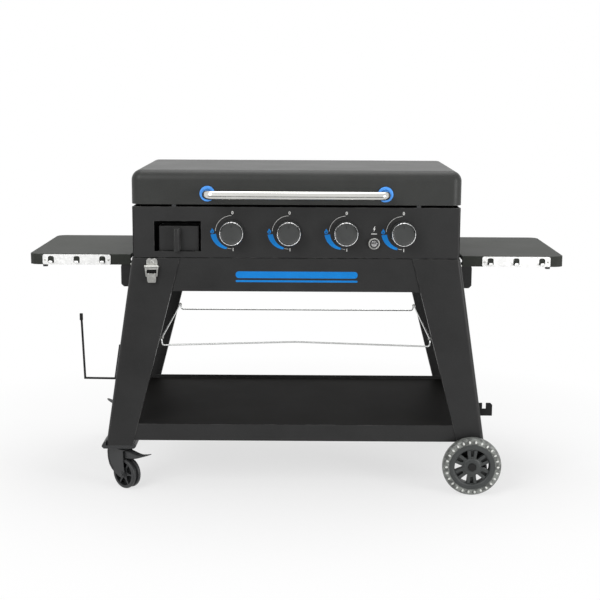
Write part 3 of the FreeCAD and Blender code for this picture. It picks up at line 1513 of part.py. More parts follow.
MAKERS = [
    (firebox, ()), (control_panel, ()), (burner_shield, ()), (griddle_plate, ()), (burners, ()),
    (gas_manifold, ()), (valve_bodies, ()), (igniter_module, ()), (igniter_button, ()),
    (grease_tray, ()), (tray_runners, ()), (lid_shell, ()), (lid_handle, ()),
    (handle_bezels, ()), (hinge_leaves, ("lid_hinge_leaves", True)), (hinge_leaves, ("body_hinge_leaves", False)),
    (lid_bumpers, ()), (legs, ()), (aprons, ()), (side_rails, ()), (bottom_shelf, ()),
    (side_shelf, ("side_shelf_left", -1)), (side_shelf, ("side_shelf_right", 1)), (shelf_brackets, ()),
    (shelf_hinge_rods, ()), (tool_hooks, ("tool_hooks_left", -1)), (tool_hooks, ("tool_hooks_right", 1)),
    (shelf_bumpers, ("shelf_bumpers_left", -1)), (shelf_bumpers, ("shelf_bumpers_right", 1)), (bag_ring, ()),
    (bag_ring_clips, ()), (towel_holder, ()), (bottle_hook, ()), (latch_strikes, ()), (latch_bases, ()),
    (latch_lever, ("latch_lever_front", False)), (latch_lever, ("latch_lever_rear", True)),
    (latch_claw, ("latch_claw_front", False)), (latch_claw, ("latch_claw_rear", True)),
    (wheel_hub, ("wheel_hub_front", False)), (wheel_hub, ("wheel_hub_rear", True)),
    (tyre, ("tyre_front", False)), (tyre, ("tyre_rear", True)), (wheel_axles, ()), (caster_plates, ()),
    (caster_fork, ("caster_fork_front", False, -39)), (caster_fork, ("caster_fork_rear", True, 155)),
    (caster_wheel, ("caster_wheel_front", False, -39)), (caster_wheel, ("caster_wheel_rear", True, 155)),
    (caster_brake, ("caster_brake_front", False, -39)), (caster_brake, ("caster_brake_rear", True, 155)),
]


def main():
    pieces = [maker(*arguments) for maker, arguments in MAKERS]
    for number, x in enumerate(KNOBS, start=1):
        pieces.append(valve_stem(number, x))
        pieces.append(knob(number, x))
    doc.recompute()
    failed = [o.Label for o in doc.Objects if {"Invalid", "Error"} & set(o.State)]
    if failed:
        raise RuntimeError("these objects failed: " + ", ".join(failed))
    os.makedirs("parts", exist_ok=True)
    for piece in pieces:
        shape = piece.Shape
        if shape.isNull() or not shape.isValid() or shape.Volume < 1:
            raise RuntimeError("no valid solid in " + piece.Label)
        shape.exportStep("parts/%s.step" % piece.Label)
        print("%-24s %2d solids %10.0f mm3" % (piece.Label, len(shape.Solids), shape.Volume))
    print(len(pieces), "pieces")


main()
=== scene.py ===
"""Looks of an outdoor gas griddle station, built round its packed CAD frame.

Run as a script. Places are in metres in the row frame: X to the right, Y to the rear, Z up. Shapes are
drawn in millimetres, and the drawing helpers turn them into metres.
"""

import json
import math

import bmesh
import bpy
from bpy.props import (
    FloatProperty,
    FloatVectorProperty,
    IntProperty,
    PointerProperty,
)
from mathutils import Matrix, Vector

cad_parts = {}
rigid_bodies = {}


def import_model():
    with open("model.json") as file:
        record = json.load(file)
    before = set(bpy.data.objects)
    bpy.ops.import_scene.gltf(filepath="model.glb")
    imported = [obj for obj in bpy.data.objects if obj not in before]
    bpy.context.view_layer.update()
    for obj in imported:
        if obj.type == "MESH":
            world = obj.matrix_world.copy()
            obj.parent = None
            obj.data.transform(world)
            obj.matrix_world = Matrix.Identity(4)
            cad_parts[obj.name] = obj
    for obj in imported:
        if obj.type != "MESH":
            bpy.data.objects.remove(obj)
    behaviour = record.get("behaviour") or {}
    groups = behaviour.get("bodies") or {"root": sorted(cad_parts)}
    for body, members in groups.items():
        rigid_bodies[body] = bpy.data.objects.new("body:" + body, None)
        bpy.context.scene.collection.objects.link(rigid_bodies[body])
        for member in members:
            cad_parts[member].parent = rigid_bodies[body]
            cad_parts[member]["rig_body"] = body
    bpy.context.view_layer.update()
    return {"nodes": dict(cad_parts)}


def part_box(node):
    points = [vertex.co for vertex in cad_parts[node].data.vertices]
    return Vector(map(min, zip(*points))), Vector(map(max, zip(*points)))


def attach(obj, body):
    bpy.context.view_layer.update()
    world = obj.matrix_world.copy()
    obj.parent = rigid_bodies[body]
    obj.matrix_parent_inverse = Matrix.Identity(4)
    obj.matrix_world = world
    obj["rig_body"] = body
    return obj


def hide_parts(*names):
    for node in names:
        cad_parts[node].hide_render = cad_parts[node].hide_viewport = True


bl_info = {
    "name": "Griddle Station Looks",
    "version": (1, 0, 0),
    "blender": (4, 5, 0),
    "location": "View3D > Sidebar > Griddle",
    "description": "Dresses the CAD frame of a gas griddle station with its visible pieces",
    "category": "Object",
}

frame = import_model()


# places


TO_FRONT = (0, -1, 0)
TO_BACK = (0, 1, 0)
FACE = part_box("control_panel")[0].y  # the control panel's front face, in metres
BACK = (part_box("legs")[1].y - FACE) * 1000  # the rear legs' back, in millimetres behind that face
APRON_FACE = (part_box("aprons")[0].y - FACE) * 1000
LEG_TOP = 711
LEFT_FOOT = 138  # the left legs end here, on the casters' plates
RIGHT_FOOT = 62
OUTER_EDGE = (483.2, 572.0)  # how far out a leg's edges are at its top and at the left foot
INNER_EDGE = (341.5, 491.5)
HANDLE_END = 259
HANDLE_HEIGHT = 901
IGNITER_OUT = 228
LATCH_OUT = 424
CASTER_OUT = 538
CASTERS = (("front", 44, -39), ("rear", BACK - 44, 155))  # name, depth and the turn of the swivel at rest
CASTER_TRAIL = 32
CASTER_RADIUS = 46


def spot(x, depth, z):
    """A point from millimetres: across, behind the panel's face, above the floor."""
    return Vector((x / 1000, FACE + depth / 1000, z / 1000))


def leg_edge(edge, height):
    """How far out one of a leg's sloping edges is at a height."""
    at_top, at_foot = edge
    return at_top + (at_foot - at_top) * (LEG_TOP - height) / (LEG_TOP - LEFT_FOOT)


def facing(direction, at):
    """The matrix that puts a shape's Z along a direction at a place, X kept level."""
    forward = Vector(direction).normalized()
    side = Vector((0, 0, 1)).cross(forward)
    side = Vector((1, 0, 0)) if side.length < 1e-6 else side.normalized()
    turned = Matrix((side, forward.cross(side), forward)).transposed().to_4x4()
    return Matrix.Translation(at) @ turned


# node trees


def step(tree, kind, inputs=None, **settings):
    """Adds a node, sets its settings, and fills or links its inputs."""
    node = tree.nodes.new(kind)
    for key, value in settings.items():
        setattr(node, key, value)
    for key, value in (inputs or {}).items():
        fill(tree, node.inputs[key], value)
    return node


def fill(tree, socket, value):
    """Links another node's output to a socket, or sets the socket's own value."""
    if isinstance(value, bpy.types.NodeSocket):
        tree.links.new(value, socket)
    else:
        socket.default_value = value


def sum_up(tree, operation, first, second):
    """The output of one Math node."""
    node = step(tree, "ShaderNodeMath", operation=operation)
    fill(tree, node.inputs[0], first)
    fill(tree, node.inputs[1], second)
    return node.outputs[0]


def between(tree, value, low, high, start=0.0, end=1.0):
    """Maps value from low..high to start..end, clamped."""
    ends = {"Value": value, "From Min": low, "From Max": high, "To Min": start, "To Max": end}
    return step(tree, "ShaderNodeMapRange", ends, clamp=True).outputs["Result"]


def blend_colour(tree, factor, first, second):
    """The colour output of a Mix node, whose colour sockets are numbers 6 and 7."""
    node = step(tree, "ShaderNodeMix", data_type="RGBA")
    for number, value in ((0, factor), (6, first), (7, second)):
        fill(tree, node.inputs[number], value)
    return node.outputs[2]


def rgba(colour, gain=1.0):
    """A colour, made brighter or darker, with its alpha."""
    return (colour[0] * gain, colour[1] * gain, colour[2] * gain, 1.0)


def grey(level):
    """A neutral colour."""
    return (level, level, level)


class Recipe:
    """A finish under construction: its tree, its shader and its object coordinates."""

    def __init__(self, name):
        self.material = bpy.data.materials.new(name)
        self.material.use_nodes = True
        self.tree = self.material.node_tree
        self.shader = self.tree.nodes["Principled BSDF"]
        self.place = step(self.tree, "ShaderNodeTexCoord").outputs["Object"]

    def set(self, key, value):
        """Sets one of the shader's plain values."""
        self.shader.inputs[key].default_value = value

    def drive(self, key, output):
        """Links an output to one of the shader's inputs."""
        self.tree.links.new(output, self.shader.inputs[key])

    def noise(self, scale, detail=2.0, stretch=None, roughness=0.5):
        """A noise's value over the piece; stretch scales the three axes apart."""
        where = self.place
        if stretch:
            where = step(self.tree, "ShaderNodeMapping", {"Vector": where, "Scale": stretch}).outputs[0]
        inputs = {"Vector": where, "Scale": scale, "Detail": detail, "Roughness": roughness}
        return step(self.tree, "ShaderNodeTexNoise", inputs).outputs[0]

    def spread(self, noise, low, high):
        """A noise's middle range, stretched to run from low to high."""
        return between(self.tree, noise, 0.3, 0.7, low, high)

    def shaded(self, colour, noise, dark, pale):
        """A colour that runs between two gains of itself as a noise does."""
        return blend_colour(self.tree, self.spread(noise, 0.0, 1.0), rgba(colour, dark), rgba(colour, pale))

    def flecked(self, tone, fleck, noise, low, high, amount=1.0):
        """The tone with a second colour over it where the noise runs from low to high."""
        return blend_colour(self.tree, between(self.tree, noise, low, high, 0.0, amount), tone, fleck)

    def worn_and_highlit(self, tone, bare_and_highlit, amount):
        """The tone with a paler colour on the piece's edge faces, from its edge attribute broken up by noise:
        partly scuffed coating, partly a painted edge highlight.
        """
        edge = step(self.tree, "ShaderNodeAttribute", attribute_name="edge").outputs["Fac"]
        patches = between(self.tree, self.noise(45.0, 3.0), 0.42, 0.62)
        # paler edge faces: scuffed coating plus a painted highlight along every rounded edge
        rubbed_and_highlit = sum_up(self.tree, "MULTIPLY", sum_up(self.tree, "MULTIPLY", edge, patches), amount)
        return blend_colour(self.tree, rubbed_and_highlit, tone, bare_and_highlit)

    def bump(self, height, distance, strength, under=None):
        """A bump from a height, on top of another bump where one is given."""
        inputs = {"Height": height, "Distance": distance, "Strength": strength}
        if under:
            inputs["Normal"] = under
        return step(self.tree, "ShaderNodeBump", inputs).outputs[0]


# finishes


def powder_coat(name, colour, roughness, grain, edge_wear_and_highlight=0.55, gloss=0.18):
    """Matt baked coating: fine orange peel, faint clouds, and paler edges, partly scuffed to grey and partly
    a painted highlight.
    """
    settings = bpy.context.scene.griddle_finish
    recipe = Recipe(name)
    cloud = recipe.noise(7.0, 4.0, roughness=0.6)
    tone = recipe.shaded(colour, cloud, 0.86, 1.14)
    tone = recipe.flecked(tone, rgba(colour, 1.4), recipe.noise(260.0), 0.45, 0.75, 0.25)
    recipe.set("Specular IOR Level", gloss)
    # edges lightened towards the edge tone: scuffed coating and a painted edge highlight
    recipe.drive("Base Color", recipe.worn_and_highlit(tone, rgba(settings.edge_wear_and_highlight_tone), edge_wear_and_highlight))
    recipe.drive("Roughness", recipe.spread(cloud, roughness - 0.03, roughness + 0.03))
    wave = recipe.bump(recipe.noise(4.0, 1.0), 0.0006, 0.3)
    peel = recipe.noise(settings.grain_scale)
    recipe.drive("Normal", recipe.bump(peel, settings.grain_depth * grain, 0.5, wave))
    return recipe.material


def brushed_metal(name, colour, roughness, along, grain=0.00003):
    """Metal with fine lines along one axis; along is that axis as 0, 1 or 2."""
    recipe = Recipe(name)
    stretch = [1.0, 1.0, 1.0]
    stretch[along] = 0.012
    lines = recipe.noise(900.0, 3.0, stretch)
    smudge = recipe.noise(9.0, 3.0)
    recipe.drive("Base Color", recipe.shaded(colour, smudge, 0.94, 1.0))
    brushed = recipe.spread(lines, roughness - 0.04, roughness + 0.04)
    smeared = between(recipe.tree, smudge, 0.5, 0.75, 0.0, 0.05)
    recipe.drive("Roughness", sum_up(recipe.tree, "ADD", brushed, smeared))
    recipe.set("Metallic", 1.0)
    recipe.drive("Normal", recipe.bump(lines, grain, 0.6))
    return recipe.material


def zinc_plate(name, colour, roughness=0.36, cloud=1.0):
    """Bright zinc: soft spangle, a little cloud, faint scratches."""
    recipe = Recipe(name)
    tree = recipe.tree
    spangle = step(tree, "ShaderNodeTexVoronoi", {"Vector": recipe.place, "Scale": 190.0}).outputs["Color"]
    level = step(tree, "ShaderNodeSeparateColor", {"Color": spangle}).outputs[0]
    tone = recipe.flecked(rgba(colour, 1 - 0.08 * cloud), rgba(colour), level, 0.0, 1.0)
    tone = recipe.flecked(tone, rgba(colour, 0.7), recipe.noise(30.0, 3.0), 0.55, 0.8, 0.35 * cloud)
    recipe.drive("Base Color", tone)
    recipe.drive("Roughness", between(tree, level, 0.0, 1.0, roughness - 0.05, roughness + 0.06))
    recipe.set("Metallic", 1.0)
    recipe.drive("Normal", recipe.bump(recipe.noise(500.0), 0.00004, 0.4))
    return recipe.material


def moulded_plastic(name, colour, roughness, grain=0.00006, edge_wear_and_highlight=0.25):
    """Moulded plastic or rubber: fine erosion texture, slight tone shifts, and paler edges that are partly
    scuffed and partly a painted highlight.
    """
    recipe = Recipe(name)
    cloud = recipe.noise(18.0, 3.0)
    tone = recipe.shaded(colour, cloud, 0.88, 1.12)
    # paler edges: scuffed plastic plus a painted highlight
    recipe.drive("Base Color", recipe.worn_and_highlit(tone, rgba(colour, 3.0), edge_wear_and_highlight))
    recipe.drive("Roughness", recipe.spread(cloud, roughness - 0.05, roughness + 0.06))
    recipe.drive("Normal", recipe.bump(recipe.noise(1500.0, 1.0), grain, 0.5))
    return recipe.material


def glossy_paint(name, colour, roughness=0.32, edge_wear_and_highlight=0.3):
    """Smooth coloured enamel with slight tone shifts, and paler edges that are partly scuffed and partly a
    painted highlight.
    """
    recipe = Recipe(name)
    cloud = recipe.noise(12.0, 3.0)
    tone = recipe.shaded(colour, cloud, 0.94, 1.06)
    # paler edges: scuffed enamel plus a painted highlight
    recipe.drive("Base Color", recipe.worn_and_highlit(tone, rgba(colour, 1.6), edge_wear_and_highlight))
    recipe.set("Specular IOR Level", 0.25)
    recipe.drive("Roughness", recipe.spread(cloud, roughness - 0.04, roughness + 0.05))
    recipe.drive("Normal", recipe.bump(recipe.noise(700.0), 0.00004, 0.4))
    return recipe.material


def seasoned_steel(name):
    """Cooking plate: oiled dark steel with brown heat clouds and scraper marks along the depth."""
    recipe = Recipe(name)
    tree = recipe.tree
    oiled, browned, scraped = (0.022, 0.02, 0.019), (0.075, 0.052, 0.038), (0.13, 0.125, 0.12)
    heat = recipe.noise(5.0, 5.0, roughness=0.65)
    scrape = recipe.noise(160.0, 4.0, (1.0, 0.03, 1.0))
    tone = recipe.flecked(rgba(oiled), rgba(browned), heat, 0.38, 0.66)
    recipe.drive("Base Color", recipe.flecked(tone, rgba(scraped), scrape, 0.56, 0.72, 0.5))
    recipe.drive("Roughness", between(tree, sum_up(tree, "ADD", heat, scrape), 0.7, 1.3, 0.26, 0.52))
    recipe.set("Metallic", 0.75)
    recipe.drive("Normal", recipe.bump(scrape, 0.00008, 0.5))
    return recipe.material


def clear_rubber(name, colour, axle):
    """Tyre: grey translucent rubber with milky mottling, moulded rings about its axle and a dusty tread."""
    recipe = Recipe(name)
    tree = recipe.tree
    mottle = recipe.noise(95.0, 3.0, roughness=0.6)
    fine = recipe.noise(320.0)
    centring = {"Vector": recipe.place, "Location": (-axle.x, 0, -axle.z), "Scale": (1, 0, 1)}
    centred = step(tree, "ShaderNodeMapping", centring).outputs[0]
    reach = step(tree, "ShaderNodeVectorMath", {0: centred}, operation="LENGTH").outputs["Value"]
    ring = sum_up(tree, "SINE", sum_up(tree, "MULTIPLY", reach, 1900.0), 0.0)
    milky = blend_colour(tree, between(tree, mottle, 0.4, 0.6), rgba(colour, 0.42), rgba(colour, 1.6))
    ringed = recipe.flecked(milky, rgba(colour, 0.45), ring, 0.2, 1.0, 0.45)
    recipe.drive("Base Color", recipe.flecked(ringed, rgba(colour, 2.6), fine, 0.58, 0.78, 0.6))
    recipe.drive("Roughness", recipe.spread(mottle, 0.34, 0.5))
    recipe.set("Coat Weight", 0.25)
    recipe.drive("Normal", recipe.bump(fine, 0.0001, 0.4))
    return recipe.material


FINISHES = {}


def finish(name):
    """The shared finish of this name, made on first use."""
    if name not in FINISHES:
        FINISHES[name] = make_finish(name)
    return FINISHES[name]


def make_finish(name):
    """Makes a finish, from the user's colours where it has one."""
    shades = bpy.context.scene.griddle_finish
    smoked = [0.42 * part for part in shades.chrome]
    dulled = [0.82 * part for part in shades.zinc]
    axle = sum(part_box("tyre_front"), Vector()) / 2
    makers = {
        "charcoal": lambda: powder_coat("charcoal_coat", shades.charcoal, 0.42, 0.7, gloss=0.22),
        "charcoal_sheet": lambda: powder_coat(
            "charcoal_sheet_coat", shades.charcoal_sheet, 0.42, 0.7, gloss=0.24),
        "shelf_top": lambda: powder_coat("side_shelf_coat", shades.shelf_top, 0.5, 0.7, gloss=0.1),
        # painted shade: a darker coat for the bottom shelf's top, which lies in shadow under the head
        "bottom_shelf_shaded_top": lambda: powder_coat("bottom_shelf_coat", shades.bottom_shelf_shaded_top, 0.62, 0.9, gloss=0.03),
        "dark_inner": lambda: powder_coat("dark_inner_coat", shades.dark_inner, 0.62, 0.8, 0.2, 0.08),
        "black_steel": lambda: powder_coat("black_steel_coat", shades.dark_inner, 0.42, 0.6, 0.5),
        "black_wire": lambda: powder_coat("black_wire_coat", shades.dark_inner, 0.38, 0.5, 0.5),
        "cooking": lambda: seasoned_steel("seasoned_cooking_steel"),
        "handle_steel": lambda: brushed_metal("brushed_handle_steel", shades.steel, 0.16, 0),
        "burner_steel": lambda: brushed_metal("burner_steel", (0.5, 0.49, 0.47), 0.38, 1),
        "dark_steel": lambda: brushed_metal("blackened_steel", grey(0.035), 0.42, 1),
        "brass": lambda: brushed_metal("machined_brass", (0.72, 0.52, 0.22), 0.3, 1),
        "chrome": lambda: brushed_metal("bright_chrome", shades.chrome, 0.14, 2, 0.00001),
        "dark_chrome": lambda: brushed_metal("dark_chrome", smoked, 0.2, 2, 0.00001),
        "zinc": lambda: zinc_plate("zinc_plated", shades.zinc),
        "worn_zinc": lambda: zinc_plate("worn_zinc_plated", dulled, 0.45, 1.8),
        "hook_plate": lambda: zinc_plate("bright_hook_plate", shades.hook_plate, 0.5, 0.35),
        "wire": lambda: zinc_plate("plated_wire", shades.wire, 0.3, 0.3),
        "blue": lambda: glossy_paint("blue_enamel", shades.blue),
        "bezel_blue": lambda: glossy_paint("blue_bezel_enamel", shades.bezel_blue, 0.28),
        "white_print": lambda: glossy_paint("white_print", (0.72, 0.72, 0.7), 0.45, 0.0),
        "knob": lambda: moulded_plastic("knob_plastic", shades.knob, 0.4),
        "plastic": lambda: moulded_plastic("black_plastic", shades.plastic, 0.45),
        "rubber": lambda: moulded_plastic("black_rubber", shades.plastic, 0.7, 0.00012, 0.1),
        # painted shadow: near-black film for the shaded gaps between the legs and the apron
        "seam_shadow": lambda: moulded_plastic("seam_black", grey(0.004), 0.8, 0.00004, 0.0),
        "hub": lambda: moulded_plastic("wheel_hub_plastic", shades.hub, 0.45),
        "tyre": lambda: clear_rubber("clear_grey_rubber", shades.tyre, axle),
        "tyre_stud": lambda: moulded_plastic("pale_tyre_studs", (0.66, 0.67, 0.64), 0.35, 0.00004, 0.0),
    }
    return makers[name]()


# placing pieces


def settle(name, mesh, body, finish_name, nodes=(), smooth=32):
    """Puts a mesh in the scene with its finish and body, for the CAD nodes that it stands for.

    Edges flatter than the smooth angle shade as one surface. A mesh that has its finishes keeps them if
    finish_name is None.
    """
    piece = bpy.data.objects.new(name, mesh)
    mesh.name = name
    bpy.context.scene.collection.objects.link(piece)
    if finish_name:
        tinted(mesh, finish_name)
    mesh.shade_smooth()
    mesh.set_sharp_from_angle(angle=math.radians(smooth))
    modifier = piece.modifiers.new("Even normals", "WEIGHTED_NORMAL")
    modifier.keep_sharp = True
    modifier.weight = 80
    apply_modifiers(piece)
    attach(piece, body)
    if nodes:
        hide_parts(*nodes)
    return piece


def apply_modifiers(piece):
    """Turns a piece and its modifiers into one plain mesh."""
    graph = bpy.context.evaluated_depsgraph_get()
    solid = bpy.data.meshes.new_from_object(piece.evaluated_get(graph))
    piece.modifiers.clear()
    piece.data = solid
    solid.name = piece.name


def tinted(mesh, finish_name):
    """The mesh with this finish."""
    mesh.materials.clear()
    mesh.materials.append(finish(finish_name))
    return mesh


def tinted_by(mesh, test, first, second):
    """The mesh with one finish where the test holds for a face, and another elsewhere."""
    tinted(mesh, first).materials.append(finish(second))
    for face in mesh.polygons:
        face.material_index = 0 if test(face) else 1
    return mesh


def placed(mesh, matrix):
    """The mesh, moved and turned by a matrix."""
    mesh.transform(matrix)
    return mesh


def moved(mesh, x=0.0, y=0.0, z=0.0):
    """The mesh, moved by millimetres."""
    return placed(mesh, Matrix.Translation((x / 1000, y / 1000, z / 1000)))


def tilted(mesh, degrees, axis, x=0.0, y=0.0, z=0.0):
    """The mesh, turned about one of its axes and then moved by millimetres."""
    mesh.transform(Matrix.Rotation(math.radians(degrees), 4, axis))
    return moved(mesh, x, y, z)


def across(mesh, width):
    """Turns a plate drawn as (out, up) so that its thickness lies along local X, about 0."""
    return placed(mesh, Matrix(((0, 0, -1, width / 2000), (0, 1, 0, 0), (1, 0, 0, 0), (0, 0, 0, 1))))


def turned_up(mesh):
    """Turns a shape made by across so that its width lies along Y, its out along X and its up along Z."""
    return placed(mesh, Matrix(((0, 0, 1, 0), (1, 0, 0, 0), (0, 1, 0, 0), (0, 0, 0, 1))))


# outlines


def mm(points):
    """Points in metres, from millimetres."""
    return [tuple(value / 1000 for value in point) for point in points]


def polar(pairs):
    """Points from pairs of a radius and an angle in degrees."""
    return [(r * math.cos(math.radians(a)), r * math.sin(math.radians(a))) for r, a in pairs]


def arc(radius, start, end, count, centre=(0, 0)):
    """Points along an arc, angles in degrees."""
    steps = polar((radius, start + (end - start) * i / count) for i in range(count + 1))
    return [(centre[0] + x, centre[1] + y) for x, y in steps]


def rounded_outline(left, low, right, high, radius, count=6):
    """A rectangle's outline with rounded corners."""
    points = []
    for x, y, start in ((right, high, 0), (left, high, 90), (left, low, 180), (right, low, 270)):
        centre = (x - radius if x == right else x + radius, y - radius if y == high else y + radius)
        points += arc(radius, start, start + 90, count, centre)
    return points


def mirrored(right):
    """An outline from its right half; a point on the middle line isn't repeated."""
    return right + [(-x, y) for x, y in reversed(right) if x]


def curved(start, corner, end, count):
    """Points along the curve from start to end that the corner pulls towards it."""
    steps = [k / count for k in range(count + 1)]
    return [tuple((1 - t) ** 2 * start + 2 * t * (1 - t) * corner + t * t * end) for t in steps]


def eased(points, radius, count=5, closed=True):
    """Points with their corners rounded; a corner flatter than 8 degrees stays."""
    points = [Vector(p) for p in points]
    made = []
    for i, corner in enumerate(points):
        if not closed and i in (0, len(points) - 1):
            made.append(tuple(corner))
            continue
        back, on = points[i - 1] - corner, points[(i + 1) % len(points)] - corner
        turn = back.angle(on)
        if turn > math.radians(172):
            made.append(tuple(corner))
            continue
        cut = min(radius / math.tan(turn / 2), 0.47 * back.length, 0.47 * on.length)
        made += curved(corner + back.normalized() * cut, corner, corner + on.normalized() * cut, count)
    return made


# meshes


def mesh_of(work):
    """A mesh datablock from a bmesh, which is freed."""
    mesh = bpy.data.meshes.new("work")
    work.to_mesh(mesh)
    work.free()
    return mesh


def joined(meshes):
    """One mesh from several; each mesh's materials come along."""
    work = bmesh.new()
    materials = []
    for mesh in meshes:
        start = len(work.faces)
        offsets = []
        for material in mesh.materials:
            if material not in materials:
                materials.append(material)
            offsets.append(materials.index(material))
        work.from_mesh(mesh)
        work.faces.ensure_lookup_table()
        for face in work.faces[start:]:
            if offsets:
                face.material_index = offsets[min(face.material_index, len(offsets) - 1)]
    for mesh in meshes:
        bpy.data.meshes.remove(mesh)
    made = mesh_of(work)
    for material in materials:
        made.materials.append(material)
    return made


def rounded_edges(work, width, angle=28):
    """Rounds a bmesh's edges sharper than the angle; marks the new faces for scuffs and a painted highlight.
    """
    mark = work.faces.layers.float.get("edge") or work.faces.layers.float.new("edge")
    limit = math.radians(angle)
    sharp = [e for e in work.edges if len(e.link_faces) == 2 and e.calc_face_angle(0.0) > limit]
    made = bmesh.ops.bevel(
        work, geom=sharp, offset=width / 1000, offset_type="OFFSET", segments=2, profile=0.5,
        affect="EDGES", clamp_overlap=True, loop_slide=True)
    for face in made["faces"]:
        face[mark] = 1.0


def softened(node, width=None):
    """A copy of a CAD node with its points merged, flat parts joined and edges rounded."""
    if width is None:
        width = bpy.context.scene.griddle_sheet.edge_round * 1000
    work = bmesh.new()
    work.from_mesh(frame["nodes"][node].data)
    bmesh.ops.remove_doubles(work, verts=work.verts, dist=0.00001)
    bmesh.ops.dissolve_limit(
        work, angle_limit=math.radians(0.4), verts=work.verts, edges=work.edges,
        use_dissolve_boundaries=False)
    if width > 0:
        rounded_edges(work, width)
    return mesh_of(work)


def dressed(piece_name, node, finish_name, width=None):
    """A CAD node's own shape, with rounded edges and a finish, in its place."""
    body = frame["nodes"][node]["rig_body"]
    return settle(piece_name, softened(node, width), body, finish_name, (node,))


def skinned(loops):
    """A closed bmesh through loops of equally many points, with a flat cap on the first and the last."""
    work = bmesh.new()
    rings = [[work.verts.new(point) for point in mm(loop)] for loop in loops]
    for low, high in zip(rings, rings[1:]):
        for i in range(len(low)):
            j = (i + 1) % len(low)
            work.faces.new((low[i], low[j], high[j], high[i]))
    work.faces.new(rings[0])
    work.faces.new(rings[-1])
    bmesh.ops.recalc_face_normals(work, faces=work.faces)
    return work


def lathe(profile, sides, closed=False):
    """A mesh turned about Z from (radius, height) points; closed joins the last point to the first."""
    work = bmesh.new()
    rings = []
    for radius, height in mm(profile):
        count = 1 if radius < 1e-7 else sides
        circle = polar((radius, 360 * i / sides) for i in range(count))
        rings.append([work.verts.new((x, y, height)) for x, y in circle])
    pairs = list(zip(rings, rings[1:]))
    if closed:
        pairs.append((rings[-1], rings[0]))
    for low, high in pairs:
        for i in range(sides):
            a, b = low[i % len(low)], low[(i + 1) % len(low)]
            c, d = high[(i + 1) % len(high)], high[i % len(high)]
            corners = [v for n, v in enumerate((a, b, c, d)) if v not in (a, b, c, d)[:n]]
            if len(corners) > 2:
                work.faces.new(corners)
    bmesh.ops.recalc_face_normals(work, faces=work.faces)
    return mesh_of(work)


def plate(outlines, thickness, edge=0.3, steps=1):
    """A flat piece in the XY plane, from Z 0 to its thickness; later outlines are holes."""
    curve = bpy.data.curves.new("outline", "CURVE")
    curve.dimensions = "2D"
    curve.fill_mode = "BOTH"
    curve.extrude = (thickness / 2 - edge) / 1000
    curve.bevel_depth = edge / 1000
    curve.bevel_resolution = steps
    curve.offset = -edge / 1000
    for points in outlines:
        spline = curve.splines.new("POLY")
        spline.points.add(len(points) - 1)
        for corner, (x, y) in zip(spline.points, mm(points)):
            corner.co = (x, y, 0, 1)
        spline.use_cyclic_u = True
    holder = bpy.data.objects.new("outline", curve)
    mesh = bpy.data.meshes.new_from_object(holder)
    bpy.data.objects.remove(holder)
    bpy.data.curves.remove(curve)
    work = bmesh.new()
    work.from_mesh(moved(mesh, z=thickness / 2))
    bmesh.ops.remove_doubles(work, verts=work.verts, dist=0.000002)
    bmesh.ops.recalc_face_normals(work, faces=work.faces)
    bpy.data.meshes.remove(mesh)
    return mesh_of(work)


def bent_strip(path, thickness, width, edge=0.3, bend=1.5):
    """Strip of sheet that follows a path of (out, up) points; its width lies along local X, about 0."""
    line = [Vector(p) for p in eased(path, bend, closed=False)]
    sides = ([], [])
    for i, point in enumerate(line):
        before = (point - line[i - 1]).normalized() if i else None
        after = (line[i + 1] - point).normalized() if i < len(line) - 1 else None
        along = ((before or after) + (after or before)).normalized()
        out = Vector((-along.y, along.x)) * thickness / 2 / max(0.5, along.dot(before or after))
        sides[0].append(tuple(point + out))
        sides[1].append(tuple(point - out))
    return across(plate([sides[0] + sides[1][::-1]], width, edge), width)


# geometry node trees


def new_tree(name, **inputs):
    """An empty geometry tree with named inputs, each with its kind of socket, and one geometry output."""
    tree = bpy.data.node_groups.new(name, "GeometryNodeTree")
    for label, kind in inputs.items():
        tree.interface.new_socket(label, in_out="INPUT", socket_type="NodeSocket" + kind)
    tree.interface.new_socket("Result", in_out="OUTPUT", socket_type="NodeSocketGeometry")
    source = tree.nodes.new("NodeGroupInput")
    return tree, {label: source.outputs[label] for label in inputs}


def close_tree(tree, geometry, material):
    """Realizes what the tree made, sets its finish and gives it out."""
    real = step(tree, "GeometryNodeRealizeInstances", {"Geometry": geometry}).outputs[0]
    done = step(tree, "GeometryNodeSetMaterial", {"Geometry": real, "Material": material}).outputs[0]
    step(tree, "NodeGroupOutput", {"Result": done})
    return tree


def bar_tree():
    """A round bar that follows a path, its corners bent to a radius."""
    tree, given = new_tree(
        "Round bar", Path="Geometry", Radius="Float", Bend="Float", Sides="Int", Finish="Material")
    line = step(tree, "GeometryNodeMeshToCurve", {"Mesh": given["Path"]}).outputs[0]
    bends = {"Curve": line, "Radius": given["Bend"], "Limit Radius": True, "Count": 10}
    bent = step(tree, "GeometryNodeFilletCurve", bends, mode="POLY").outputs[0]
    circle = {"Resolution": given["Sides"], "Radius": given["Radius"]}
    section = step(tree, "GeometryNodeCurvePrimitiveCircle", circle).outputs[0]
    swept = {"Curve": bent, "Profile Curve": section, "Fill Caps": True}
    return close_tree(tree, step(tree, "GeometryNodeCurveToMesh", swept).outputs[0], given["Finish"])


